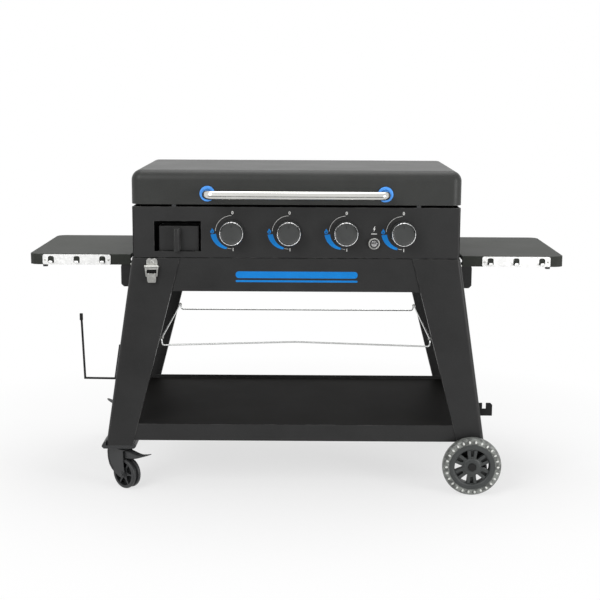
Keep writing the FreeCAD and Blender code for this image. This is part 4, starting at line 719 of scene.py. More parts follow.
def ring_tree():
    """Copies of one shape, evenly round the Z axis."""
    tree, given = new_tree("Copies round an axle", Shape="Geometry", Count="Int", Finish="Material")
    spots = step(tree, "GeometryNodeMeshLine", {"Count": given["Count"], "Offset": (0, 0, 0)}).outputs[0]
    index = step(tree, "GeometryNodeInputIndex").outputs[0]
    share = sum_up(tree, "DIVIDE", index, given["Count"])
    turn = step(tree, "ShaderNodeCombineXYZ", {"Z": sum_up(tree, "MULTIPLY", share, math.tau)}).outputs[0]
    spread = {"Points": spots, "Instance": given["Shape"], "Rotation": turn}
    copies = step(tree, "GeometryNodeInstanceOnPoints", spread).outputs[0]
    return close_tree(tree, copies, given["Finish"])


def fastener_tree():
    """A head on every point, turned to the point's facing direction."""
    tree, given = new_tree("Fasteners", Points="Geometry", Head="Object", Finish="Material")
    way = step(tree, "GeometryNodeInputNamedAttribute", {"Name": "facing"}, data_type="FLOAT_VECTOR")
    turn = step(tree, "FunctionNodeAlignRotationToVector", {"Vector": way.outputs[0]}, axis="Z").outputs[0]
    head = step(tree, "GeometryNodeObjectInfo", {"Object": given["Head"]}).outputs["Geometry"]
    spread = {"Points": given["Points"], "Instance": head, "Rotation": turn}
    heads = step(tree, "GeometryNodeInstanceOnPoints", spread).outputs[0]
    return close_tree(tree, heads, given["Finish"])


TREES = {}


def grown(make_tree, source, **values):
    """Runs a node tree on a mesh and returns the result as a plain mesh."""
    if make_tree not in TREES:
        TREES[make_tree] = make_tree()
    tree = TREES[make_tree]
    holder = bpy.data.objects.new("source", source)
    bpy.context.scene.collection.objects.link(holder)
    modifier = holder.modifiers.new("Grow", "NODES")
    modifier.node_group = tree
    for socket in tree.interface.items_tree:
        if socket.in_out == "INPUT" and socket.name in values:
            modifier[socket.identifier] = values[socket.name]
    graph = bpy.context.evaluated_depsgraph_get()
    mesh = bpy.data.meshes.new_from_object(holder.evaluated_get(graph))
    bpy.data.objects.remove(holder)
    return mesh


def bar(points, radius, bend, finish_name, sides, closed=False):
    """A bent round bar through these points."""
    path = bpy.data.meshes.new("path")
    lines = [(i, i + 1) for i in range(len(points) - 1)]
    if closed:
        lines.append((len(points) - 1, 0))
    path.from_pydata(points, lines, [])
    return grown(bar_tree, path, Radius=radius, Bend=bend, Sides=sides, Finish=finish(finish_name))


def around(shape, count, finish_name):
    """Copies of a mesh round Z."""
    return grown(ring_tree, shape, Count=count, Finish=finish(finish_name))


def fasteners(places, head, finish_name):
    """Heads at places, each a point and the direction that the head faces."""
    points = bpy.data.meshes.new("points")
    points.from_pydata([point for point, _ in places], [], [])
    points.attributes.new("facing", "FLOAT_VECTOR", "POINT")
    for i, (_, way) in enumerate(places):
        points.attributes["facing"].data[i].vector = way
    holder = bpy.data.objects.new("head", head)
    bpy.context.scene.collection.objects.link(holder)
    mesh = grown(fastener_tree, points, Head=holder, Finish=finish(finish_name))
    bpy.data.objects.remove(holder)
    return mesh


# settings


def colour_setting(name, description, default):
    """A colour that a user may change."""
    return FloatVectorProperty(
        name=name, description=description, subtype="COLOR", size=3, min=0.0, max=1.0, default=default)


def length_setting(name, description, default):
    """A length in metres that a user may change."""
    return FloatProperty(
        name=name, description=description, default=default, min=0.0, unit="LENGTH", precision=5)


def angle_setting(name, description, default):
    """An angle in radians that a user may change."""
    return FloatProperty(name=name, description=description, default=default, subtype="ANGLE")


def count_setting(name, description, default, least):
    """A number of like parts that a user may change."""
    return IntProperty(name=name, description=description, default=default, min=least)


class FinishSettings(bpy.types.PropertyGroup):
    """Colours and grain of the finishes."""

    charcoal: colour_setting("Charcoal", "Coating of the lid and the firebox", (0.0335, 0.0345, 0.0328))
    charcoal_sheet: colour_setting("Cart charcoal", "Coating of the control panel and the cart", grey(0.0225))
    shelf_top: colour_setting("Side shelf", "Coating of the folding side shelves", (0.0345, 0.037, 0.0325))
    # painted shade: the bottom shelf's top is given a darker coat for the head's shadow over it
    bottom_shelf_shaded_top: colour_setting("Bottom shelf", "Coating of the bottom shelf", (0.0125, 0.012, 0.0115))
    dark_inner: colour_setting("Inner black", "Coating of hidden sheet and black fittings", grey(0.012))
    # partly scuffed coating, partly a painted highlight: the colour laid on rounded edge faces
    edge_wear_and_highlight_tone: colour_setting("Rubbed edge", "Metal where the coating has worn", (0.16, 0.16, 0.155))
    steel: colour_setting("Handle steel", "Brushed steel of the lid handle", (0.66, 0.655, 0.63))
    chrome: colour_setting("Chrome", "Knob rims and the igniter's button", grey(0.82))
    zinc: colour_setting("Zinc", "Latches and bolts", (0.56, 0.56, 0.535))
    hook_plate: colour_setting("Hook plate", "Plates with the tool hooks", (0.96, 0.96, 0.95))
    wire: colour_setting("Ring wire", "Plated wire of the bag ring", (0.62, 0.63, 0.62))
    blue: colour_setting("Blue", "Dial bands and apron stripes", (0.003, 0.195, 0.585))
    bezel_blue: colour_setting("Bezel blue", "Rings at the lid handle's ends", (0.085, 0.33, 0.86))
    knob: colour_setting("Knob", "Plastic of the knobs", (0.036, 0.038, 0.037))
    plastic: colour_setting("Plastic", "Casters, pedals and small fittings", (0.022, 0.023, 0.024))
    hub: colour_setting("Hub", "Plastic of the wheel hubs", (0.036, 0.0395, 0.039))
    tyre: colour_setting("Tyre", "Grey rubber of the main wheels", (0.145, 0.152, 0.142))
    grain_scale: FloatProperty(
        name="Grain scale", description="Orange peel bumps per metre", default=620.0, min=1.0)
    grain_depth: length_setting("Grain depth", "Height of the orange peel", 0.00012)


class SheetSettings(bpy.types.PropertyGroup):
    """Edges and bends of the sheet pieces and the lid's form."""

    edge_round: length_setting("Edge rounding", "Radius of every cut edge", 0.0005)
    leg_bend: length_setting("Leg bend", "Outer radius of the legs' long bends", 0.012)
    leg_wall: length_setting("Leg wall", "Thickness of the legs' sheet", 0.002)
    lid_corner: length_setting("Lid corner", "Radius of the lid's outer edges", 0.03)
    lid_wall: length_setting("Lid wall", "Thickness of the lid's sheet", 0.002)
    lid_flat: length_setting("Lid flat", "Depth of the lid's level top behind the panel's face", 0.487)
    lid_back_drop: length_setting("Lid back drop", "Fall of the lid's rear slope", 0.044)
    stripe_height: length_setting("Stripe height", "Height of the apron's wide stripe", 0.02)
    stripe_length: length_setting("Stripe length", "Length of the apron's stripes", 0.359)


class ControlSettings(bpy.types.PropertyGroup):
    """Knobs, dials, handle and bag ring."""

    knob_pitch: length_setting("Knob pitch", "Distance between two knobs", 0.1667)
    knob_first: FloatProperty(
        name="First knob", description="Place of the left knob", default=-0.188, unit="LENGTH")
    knob_height: length_setting("Knob height", "Height of the knobs' axis above the floor", 0.788)
    rim_dashes: count_setting("Rim grips", "Bright grips round each knob", 20, 3)
    dial_radius: length_setting("Dial radius", "Radius of the printed arc", 0.049)
    handle_radius: length_setting("Handle radius", "Radius of the lid handle's tube", 0.0125)
    handle_bend: length_setting("Handle bend", "Bend radius of the lid handle", 0.02)
    ring_wire: length_setting("Ring wire", "Radius of the bag ring's wire", 0.0023)


class WheelSettings(bpy.types.PropertyGroup):
    """Main wheels and casters."""

    spokes: count_setting("Spokes", "Double spokes of a main wheel", 6, 3)
    studs: count_setting("Studs", "Pale studs round a tyre", 26, 4)
    caster_windows: count_setting("Caster windows", "Windows of a caster wheel", 6, 3)


class StageSettings(bpy.types.PropertyGroup):
    """Camera and light."""

    lens: FloatProperty(
        name="Lens", description="Focal length in millimetres", default=74.25, min=1.0, unit="CAMERA")
    camera: FloatVectorProperty(
        name="Camera", description="Place of the camera", size=3, subtype="TRANSLATION",
        default=(0.0227, -3.87975, 1.2312))
    yaw: angle_setting("Yaw", "Camera's turn about the upright axis", -0.003)
    pitch: angle_setting("Pitch", "Camera's dip below the horizon", 0.177)
    roll: angle_setting("Roll", "Camera's tilt to one side", -0.005)
    world_light: FloatProperty(
        name="World light", description="Strength of the even light", default=0.36, min=0.0)
    key_light: FloatProperty(
        name="Key light", description="Power of the large lamp at the upper left", default=84.0, min=0.0,
        unit="POWER")


# operators


class PieceOperator:
    """What the operators share: they act at once and can be undone."""

    bl_options = {"REGISTER", "UNDO"}


class GRIDDLE_OT_stage(PieceOperator, bpy.types.Operator):
    """Make the floor, the lamps, the world and the camera"""

    bl_idname = "griddle.stage"
    bl_label = "Stage"

    def execute(self, context):
        settings = context.scene.griddle_stage
        self.world(context, settings)
        self.floor()
        self.lamp("key", Vector((-2.1, -3.3, 3.0)), 2.2, settings.key_light)
        self.lamp("fill", Vector((3.1, -2.6, 1.0)), 1.3, settings.key_light * 0.7)
        self.lamp("top", Vector((0.2, 0.6, 3.6)), 2.6, settings.key_light * 0.72)
        self.dark_card()
        self.camera(context, settings)
        context.scene.view_settings.view_transform = "Standard"
        return {"FINISHED"}

    def seen_white(self, tree):
        """1 for the rays that see the studio as white: camera, glossy and transmission rays."""
        path = step(tree, "ShaderNodeLightPath")
        clear = sum_up(tree, "MAXIMUM", path.outputs["Is Glossy Ray"], path.outputs["Is Transmission Ray"])
        return sum_up(tree, "MAXIMUM", path.outputs["Is Camera Ray"], clear)

    def world(self, context, settings):
        """White where it is seen, and a soft even light on the object."""
        world = bpy.data.worlds.new("studio")
        world.use_nodes = True
        tree = world.node_tree
        tree.nodes.clear()
        seen = self.seen_white(tree)
        soft = step(tree, "ShaderNodeBackground", {"Color": rgba(grey(1)), "Strength": settings.world_light})
        white = step(tree, "ShaderNodeBackground", {"Color": rgba(grey(1)), "Strength": 1.0})
        mixed = step(tree, "ShaderNodeMixShader", {0: seen, 1: soft.outputs[0], 2: white.outputs[0]})
        step(tree, "ShaderNodeOutputWorld", {"Surface": mixed.outputs[0]})
        context.scene.world = world

    def sheet(self, name, material_name, corners, colour, roughness):
        """A flat stage piece, its material's node tree and that tree's shader."""
        mesh = bpy.data.meshes.new(name)
        mesh.from_pydata(corners, [], [(0, 1, 2, 3)])
        piece = bpy.data.objects.new(name, mesh)
        bpy.context.scene.collection.objects.link(piece)
        material = bpy.data.materials.new(material_name)
        material.use_nodes = True
        shader = material.node_tree.nodes["Principled BSDF"]
        shader.inputs["Base Color"].default_value = rgba(colour)
        shader.inputs["Roughness"].default_value = roughness
        mesh.materials.append(material)
        return piece, material.node_tree, shader

    def floor(self):
        """A pale floor that keeps the object's shadow and fades to white away from it."""
        size = 14.0
        corners = [(-size, -size, 0), (size, -size, 0), (size, size, 0), (-size, size, 0)]
        _, tree, shader = self.sheet("floor", "pale_floor", corners, grey(0.95), 0.9)
        place = step(tree, "ShaderNodeTexCoord").outputs["Object"]
        reach = step(tree, "ShaderNodeVectorMath", {0: place}, operation="LENGTH").outputs["Value"]
        fade = between(tree, reach, 0.75, 1.6, 0.68, 1.0)
        share = sum_up(tree, "MULTIPLY", fade, self.seen_white(tree))
        glow = step(tree, "ShaderNodeEmission", {"Color": rgba(grey(1)), "Strength": 1.0})
        mixed = step(tree, "ShaderNodeMixShader", {0: share, 1: shader.outputs[0], 2: glow.outputs[0]})
        tree.links.new(mixed.outputs[0], tree.nodes["Material Output"].inputs["Surface"])

    def dark_card(self):
        """A low dark card in front, seen only in reflections, which gives the bright metal its dark line."""
        half, away, low, high = 2.2, -1.6, 0.02, 0.5
        corners = [(-half, away, low), (half, away, low), (half, away, high), (-half, away, high)]
        card = self.sheet("dark_card", "dark_card_cloth", corners, grey(0.01), 0.5)[0]
        for ray in ("camera", "diffuse", "transmission", "shadow"):
            setattr(card, "visible_" + ray, False)

    def lamp(self, name, place, size, power):
        """A square lamp that points at the middle of the object."""
        light = bpy.data.lights.new(name, "AREA")
        light.shape = "SQUARE"
        light.size = size
        light.energy = power
        lamp = bpy.data.objects.new(name, light)
        bpy.context.scene.collection.objects.link(lamp)
        lamp.location = place
        lamp.rotation_euler = (Vector((0, 0, 0.55)) - place).to_track_quat("-Z", "Y").to_euler()

    def camera(self, context, settings):
        """The camera, turned by its yaw, its pitch and its roll in that order."""
        camera = bpy.data.cameras.new("camera")
        camera.lens = settings.lens
        camera.sensor_width = 36.0
        holder = bpy.data.objects.new("camera", camera)
        context.scene.collection.objects.link(holder)
        yaw, pitch, roll = settings.yaw, settings.pitch, settings.roll
        ahead = Vector((math.sin(yaw) * math.cos(pitch), math.cos(yaw) * math.cos(pitch), -math.sin(pitch)))
        right = Vector((math.cos(yaw), -math.sin(yaw), 0))
        down = ahead.cross(right)
        level = math.cos(roll) * right + math.sin(roll) * down
        up = math.sin(roll) * right - math.cos(roll) * down
        turned = Matrix((level, up, -ahead)).transposed()
        holder.matrix_world = Matrix.Translation(settings.camera) @ turned.to_4x4()
        context.scene.camera = holder


class GRIDDLE_OT_head(PieceOperator, bpy.types.Operator):
    """Dress the firebox, the burners, the gas train and the griddle plate"""

    bl_idname = "griddle.head"
    bl_label = "Head"

    def execute(self, context):
        for name, node, finish_name, slot in (
            ("firebox_tub", "firebox", "charcoal", "powder_coat"),
            ("burner_shield_sheet", "burner_shield", "dark_inner", "dark_inner"),
            ("cooking_plate", "griddle_plate", "cooking", "cooking_steel"),
            ("burner_tubes", "burners", "burner_steel", "stainless"),
            ("manifold_tube", "gas_manifold", "burner_steel", "stainless"),
            ("valve_blocks", "valve_bodies", "brass", "brass_parts"),
            ("igniter_parts", "igniter_module", "zinc", "zinc"),
            ("tray_guide_rails", "tray_runners", "dark_inner", "dark_inner"),
            ("lid_hinge_plates", "lid_hinge_leaves", "zinc", "zinc"),
            ("body_hinge_plates", "body_hinge_leaves", "zinc", "zinc"),
            ("lid_stop_pads", "lid_bumpers", "rubber", "rubber_pads"),
        ):
            dressed(name, node, finish_name)
        for number in range(1, 5):
            dressed("stem_%d_rod" % number, "valve_stem_%d" % number, "brass")
        return {"FINISHED"}


class GRIDDLE_OT_lid(PieceOperator, bpy.types.Operator):
    """Make the lid: a rounded shell with a sloped back and a rounded hem, its handle and end rings"""

    bl_idname = "griddle.lid"
    bl_label = "Lid"

    def execute(self, context):
        shell = self.walled(self.form(context.scene.griddle_sheet), context.scene.griddle_sheet.lid_wall)
        settle("lid_cover", shell, "lid", "charcoal", ("lid_shell",), 50)
        self.handle(context.scene.griddle_controls)
        return {"FINISHED"}

    def form(self, settings):
        """The lid's outer skin, open below: its side profile drawn across, with rounded corners."""
        low, high = (corner * 1000 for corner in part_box("lid_shell"))
        crease = 12
        flat = (FACE + settings.lid_flat) * 1000
        drop = settings.lid_back_drop * 1000
        corner = Vector((flat, high.z))
        slope_start = Vector((flat + crease, high.z - crease * drop / (high.y - flat)))
        profile = [(low.y, low.z), (low.y, high.z)]
        profile += curved(corner - Vector((crease, 0)), corner, slope_start, 6)
        profile += [(high.y, high.z - drop), (high.y, low.z)]
        work = skinned([[(x, y, z) for y, z in profile] for x in (low.x, high.x)])
        below = [face for face in work.faces if face.normal.z < -0.9]
        bmesh.ops.delete(work, geom=below, context="FACES_ONLY")
        sharp = math.radians(18)
        rims = [e for e in work.edges if len(e.link_faces) == 2 and e.calc_face_angle(0) > sharp]
        bmesh.ops.bevel(
            work, geom=rims, offset=settings.lid_corner, offset_type="OFFSET", segments=10, profile=0.5,
            affect="EDGES", clamp_overlap=False)
        bmesh.ops.remove_doubles(work, verts=work.verts, dist=0.00002)
        return mesh_of(work)

    def walled(self, skin, thickness):
        """The skin with its wall and a rounded hem."""
        holder = bpy.data.objects.new("lid_form", skin)
        bpy.context.scene.collection.objects.link(holder)
        wall = holder.modifiers.new("Wall", "SOLIDIFY")
        wall.thickness = thickness
        wall.offset = -1.0
        wall.use_even_offset = True
        wall.use_rim = True
        edge = holder.modifiers.new("Hem", "BEVEL")
        edge.width = 0.0009
        edge.segments = 3
        edge.limit_method = "ANGLE"
        edge.angle_limit = math.radians(60)
        apply_modifiers(holder)
        shell = holder.data
        bpy.data.objects.remove(holder)
        return shell

    def handle(self, settings):
        """The bent steel tube and the ring round each of its ends."""
        foot, reach = -2.8, -60
        points = [spot(x, depth, HANDLE_HEIGHT) for x, depth in (
            (-HANDLE_END, foot), (-HANDLE_END, reach), (HANDLE_END, reach), (HANDLE_END, foot))]
        tube = bar(points, settings.handle_radius, settings.handle_bend, "handle_steel", 40)
        settle("lid_handle_tube", tube, "lid", None, ("lid_handle",))
        section = [(12.8, 0), (22.4, 0), (22.5, 0.4), (22.5, 4.2), (22.1, 5.2), (21.2, 5.8), (19.5, 6),
                   (17.2, 5.8), (15.5, 5), (14, 3.6), (13.1, 3), (12.8, 2.4)]
        rings = [placed(lathe(section, 64, True), facing(TO_FRONT, spot(x, -2.5, HANDLE_HEIGHT)))
                 for x in (-HANDLE_END, HANDLE_END)]
        settle("handle_end_rings", joined(rings), "lid", "bezel_blue", ("handle_bezels",), 40)


class GRIDDLE_OT_panel(PieceOperator, bpy.types.Operator):
    """Make the control panel, its dial prints, the igniter and the grease tray"""

    bl_idname = "griddle.panel"
    bl_label = "Control panel"

    def execute(self, context):
        dressed("control_panel_sheet", "control_panel", "charcoal_sheet", 0.7)
        dressed("grease_tray_pan", "grease_tray", "charcoal_sheet", 0.8)
        prints = self.igniter_signs()
        for at in knob_places(context.scene.griddle_controls):
            prints += self.dial(at, context.scene.griddle_controls.dial_radius * 1000)
        settle("dial_prints", joined(prints), "cart", None)
        self.igniter()
        return {"FINISHED"}

    def print_on(self, outlines, at, finish_name):
        """A thin film of paint on the panel."""
        return tinted(placed(plate(outlines, 0.35, 0.08), facing(TO_FRONT, at)), finish_name)

    def figure(self, text, at, size):
        """A printed figure, its middle at a place."""
        height = 0.00015
        curve = bpy.data.curves.new("figure", "FONT")
        curve.body = text
        curve.size = size / 1000
        curve.align_x, curve.align_y = "CENTER", "CENTER"
        curve.extrude = height
        curve.offset = 0.00035
        holder = bpy.data.objects.new("figure", curve)
        mesh = bpy.data.meshes.new_from_object(holder)
        bpy.data.objects.remove(holder)
        return tinted(placed(mesh, facing(TO_FRONT, at + Vector((0, -height, 0)))), "white_print")

    def dial(self, at, radius):
        """One knob's prints: a thin arc, a band that narrows to the low end, a flame and two figures."""
        def beside(x, z):
            return at + Vector((x, 0, z)) / 1000

        line = arc(radius + 0.5, 92, 176, 40) + arc(radius - 0.5, 176, 92, 40)
        steps = [i / 30 for i in range(31)]
        band = polar((62.8 - 10.5 * t ** 1.4, 186 + 66 * t) for t in steps) + arc(radius - 2.2, 252, 186, 30)
        tail = arc(radius + 0.2, 254, 268, 10) + arc(radius - 0.6, 268, 254, 10)
        flame = [(0, 7.6), (1.8, 4.6), (3.6, 2.6), (4.2, -0.6), (3.2, -3.6), (0.9, -5.2), (-1.9, -4.8),
                 (-3.9, -2.6), (-4.2, 0.4), (-3.0, 2.6), (-2.2, 1.4), (-1.6, 4.4)]
        core = [(0.2, 1.4), (1.3, -0.6), (1.2, -2.6), (-0.1, -3.6), (-1.4, -2.8), (-1.5, -1.2), (-0.6, -0.4)]
        sign = [[(x * 1.316, z * 1.25) for x, z in outline] for outline in (flame, core)]
        return [
            self.print_on([line], at, "white_print"),
            self.print_on([band], at, "blue"),
            self.print_on([tail], at, "white_print"),
            self.print_on(sign, beside(-58, 2.5), "blue"),
            self.figure("0", beside(1.5, 56.8), 12.5),
            self.figure("1", beside(3, -51.4), 12.5),
        ]

    def igniter_signs(self):
        """The spark and the short bar above the igniter."""
        spark = [(1.2, 8.2), (-3.2, -0.6), (-0.4, -0.6), (-1.6, -8.2), (3.4, 1.4), (0.5, 1.4), (3, 8.2)]
        under = rounded_outline(-8.5, -1.1, 8.5, 1.1, 0.8)
        return [self.print_on([outline], spot(IGNITER_OUT, 0, height), "white_print")
                for outline, height in ((spark, 799), (under, 785))]

    def igniter(self):
        """The push button, and the ring and collar round it."""
        at = facing(TO_FRONT, spot(IGNITER_OUT, 0, 757))
        button = lathe([(0, 10.8), (3, 10.7), (6, 11.2), (7.6, 11.9), (8.6, 11.7), (9.4, 10.8), (9.6, 9.5),
                        (9.6, -4.6), (0, -4.6)], 64)
        settle("igniter_push_button", placed(button, at), "button", "dark_chrome",
               ("igniter_button",), 40)
        ring = lathe([(13.2, 0.4), (16.8, 0.4), (16.9, 6.6), (16.5, 8.2), (15.6, 9.3), (14.5, 9.5), (13.7, 9),
                      (13.2, 8)], 64, True)
        collar = lathe([(10.3, 9.3), (10.8, 9.6), (12, 9.6), (13.1, 9.2), (13.1, 8.8), (10.3, 8.8)], 64, True)
        trim = joined([tinted(ring, "zinc"), tinted(collar, "plastic")])
        settle("igniter_trim_ring", placed(trim, at), "cart", None, (), 40)


def knob_places(settings):
    """Where the four knobs' axes meet the panel, from left to right."""
    return [Vector((settings.knob_first + settings.knob_pitch * number, FACE, settings.knob_height))
            for number in range(4)]


class GRIDDLE_OT_knobs(PieceOperator, bpy.types.Operator):
    """Make the four knobs: skirt with grips, bright dashed rim and a dark face with a pointer"""

    bl_idname = "griddle.knobs"
    bl_label = "Knobs"

    def execute(self, context):
        settings = context.scene.griddle_controls
        for number, place in enumerate(knob_places(settings), 1):
            knob, body, at = "knob_%d" % number, "dial_%d" % number, facing(TO_FRONT, place)
            settle(knob + "_skirt", placed(self.skirt(), at), body, "knob", (knob,), 40)
            rim = around(self.dash(settings.rim_dashes), settings.rim_dashes, "chrome")
            settle(knob + "_rim", placed(rim, at), body, None, (), 40)
            face = joined([tinted(self.face(), "knob"), tinted(self.pointer(), "black_steel")])
            settle(knob + "_face", placed(face, at), body, None, (), 40)
        return {"FINISHED"}

    def skirt(self):
        """The fluted body behind the rim, hollow at the back: (radius, height, share of a flute's depth)."""
        sides, flutes, flute_depth = 240, 20, 1.1
        levels = [(33.4, 12, 0), (33.6, 6.2, 0), (35.9, 6.2, 0), (36, 7.2, 0), (35.8, 11, 0),
                  (35.2, 14.5, 0.3), (34.8, 18, 1), (34.3, 34, 1), (33.8, 37, 0.7), (32.5, 38.5, 0),
                  (29, 38.8, 0), (28.8, 37.5, 0)]
        turns = [360 * i / sides for i in range(sides)]
        dips = [flute_depth * max(0.0, math.cos(math.radians(flutes * a))) ** 1.5 for a in turns]
        loops = []
        for radius, height, depth in levels:
            circle = polar((radius - depth * dip, a) for a, dip in zip(turns, dips))
            loops.append([(x, y, height) for x, y in circle])
        return mesh_of(skinned(loops))

    def dash(self, count):
        """One bright grip of the rim, a rounded arc block that is thinner at both ends."""
        span, steps = 360 / count * 0.955, 10
        profile = [(31.4, 37.8), (34.3, 36.6), (35.2, 38.5), (35.1, 41.2), (34.6, 42.9), (33.7, 43.7),
                   (32.2, 43.3), (31.4, 41.8)]
        middle = Vector((33.6, 38.5))
        loops = []
        for i in range(steps + 1):
            turn = span * (i / steps - 0.5)
            share = 0.8 if i in (0, steps) else 1.0
            slim = [middle + (Vector(point) - middle) * share for point in profile]
            loops.append([(*polar([(radius, turn)])[0], height) for radius, height in slim])
        return mesh_of(skinned(loops))

    def face(self):
        """The knob's dished front, with a low rim."""
        return lathe([(0, 40.5), (20, 40.3), (28.3, 40.4), (29.6, 41.5), (30.3, 41.7), (30.9, 41), (31.2, 39),
                      (31.2, 37.6), (0, 37.6)], 96)

    def pointer(self):
        """A short line near the face's upper edge."""
        return moved(plate([rounded_outline(-0.7, 16.5, 0.7, 24.5, 0.6)], 0.4, 0.1), z=40.2)


class GRIDDLE_OT_cart(PieceOperator, bpy.types.Operator):
    """Dress the legs, aprons, rails and bottom shelf, whose top is painted darker as shade, and add the
    stripes, painted shadow lines and bolts
    """

    bl_idname = "griddle.cart"
    bl_label = "Cart"

    def execute(self, context):
        settings = context.scene.griddle_sheet
        legs = [self.leg(settings, side, at_back) for side in (-1, 1) for at_back in (False, True)]
        settle("leg_sheets", joined(legs), "cart", "charcoal_sheet", ("legs",))
        dressed("apron_sheets", "aprons", "charcoal_sheet")
        dressed("side_rail_sheets", "side_rails", "charcoal_sheet")
        # painted shade: the pan's upward faces take a darker coat, for the shadow under the head; its flanges
        # keep the cart's coat
        pan = tinted_by(
            softened("bottom_shelf"), lambda face: face.normal.z > 0.7, "bottom_shelf_shaded_top", "charcoal_sheet")
        settle("bottom_shelf_pan", pan, "cart", None, ("bottom_shelf",))
        self.bottle_hook()
        self.bolts()
        self.stripes(settings.stripe_length * 500, settings.stripe_height * 1000)
        self.seam_shadow_strips()
        return {"FINISHED"}

    def leg(self, settings, side, at_back):
        """One leg: a sheet bent along its outer edge, and a return along its inner one."""
        radius, wall = settings.leg_bend * 1000, settings.leg_wall * 1000
        width, return_width, gap = 76, 22, 0.6
        return_low, return_high = 219, 606

        def bent_sheet(height):
            outer, inner = leg_edge(OUTER_EDGE, height), leg_edge(INNER_EDGE, height)
            centre = (outer - radius, radius)
            loop = [(inner, 0)] + arc(radius, -90, 0, 8, centre) + [(outer, width), (outer - wall, width)]
            return in_place(loop + arc(radius - wall, 0, -90, 8, centre) + [(inner, wall)], height)

        def inner_return(height):
            inner = leg_edge(INNER_EDGE, height)
            return in_place([(inner, gap), (inner + wall, gap), (inner + wall, return_width),
                             (inner, return_width)], height)

        def in_place(loop, height):
            return [(side * x, BACK - depth if at_back else depth, height) for x, depth in loop]

        foot = LEFT_FOOT if side < 0 else RIGHT_FOOT
        parts = []
        for loops in ((bent_sheet(foot), bent_sheet(LEG_TOP)),
                      (inner_return(return_low), inner_return(return_high))):
            work = skinned(loops)
            rounded_edges(work, 0.7)
            parts.append(placed(mesh_of(work), Matrix.Translation((0, FACE, 0))))
        return joined(parts)

    def stripes(self, half, tall):
        """A wide and a narrow stripe on the front apron."""
        films = []
        for low, high in ((0, tall), (-12, -6)):
            film = plate([rounded_outline(-half, low, half, high, (high - low) * 0.45)], 0.4, 0.1)
            films.append(placed(film, facing(TO_FRONT, spot(1.5, APRON_FACE, 652))))
        settle("apron_stripes", joined(films), "cart", "blue")

    def seam_shadow_strips(self):
        """Painted shadow: thin black strips on the front apron along the legs' inner edges, standing for the
        shaded gap between leg and apron.
        """
        top, bottom, outside, inside = 710.5, 613, 0.2, -3
        edge = [(leg_edge(INNER_EDGE, height) + shift, height)
                for height, shift in ((top, outside), (top, inside), (bottom, inside), (bottom, outside))]
        shadow_strips = []
        for side in (-1, 1):
            outline = [(side * x, z) for x, z in edge][::side]  # both run the same way round
            shadow_strips.append(placed(plate([outline], 0.4, 0.1), facing(TO_FRONT, spot(0, APRON_FACE, 0))))
        # black strips that paint the shadow in the gap between each leg and the apron
        settle("apron_edge_beads", joined(shadow_strips), "cart", "seam_shadow")

    def bottle_hook(self):
        """Notched plate with a flange on the leg."""
        low, high, tip, wall, clear = 227, 267, 596, 3, 0.15
        foot, head = leg_edge(OUTER_EDGE, low) + clear, leg_edge(OUTER_EDGE, high) + clear
        outline = [(foot, low), (tip, low), (tip, 261), (590, high), (576.5, high), (576.5, 249),
                   (565.5, 249), (565.5, high), (head, high)]
        face = placed(plate([eased(outline, 1.2, 3)], wall, 0.4), facing(TO_FRONT, spot(0, 43, 0)))
        strip = [(foot, low + 0.5), (foot + wall, low + 0.5), (head + wall, high - 0.5), (head, high - 0.5)]
        flange = placed(plate([strip], 23.2, 0.4), facing(TO_FRONT, spot(0, 66, 0)))
        settle("bottle_hook_plate", joined([face, flange]), "cart", "black_steel",
               ("bottle_hook",))

    def bolts(self):
        """Heads of the bolts that hold the head and the aprons to the legs."""
        head = lathe([(0, 3.4), (1.6, 3.4), (1.9, 2.2), (3, 2.4), (4.2, 1.8), (5, 0.2), (5, -0.6),
                      (0, -0.6)], 20)
        inset = 28
        places = []
        for side in (-1, 1):
            for depth in (inset, BACK - inset):
                places += [(spot(side * 478.2, depth, height), (side, 0, 0)) for height in (727, 837)]
                places.append((spot(side * 486.9, depth, 688), (side, 0, 0.12)))
        settle("side_bolt_heads", fasteners(places, head, "zinc"), "cart", None, (), 40)


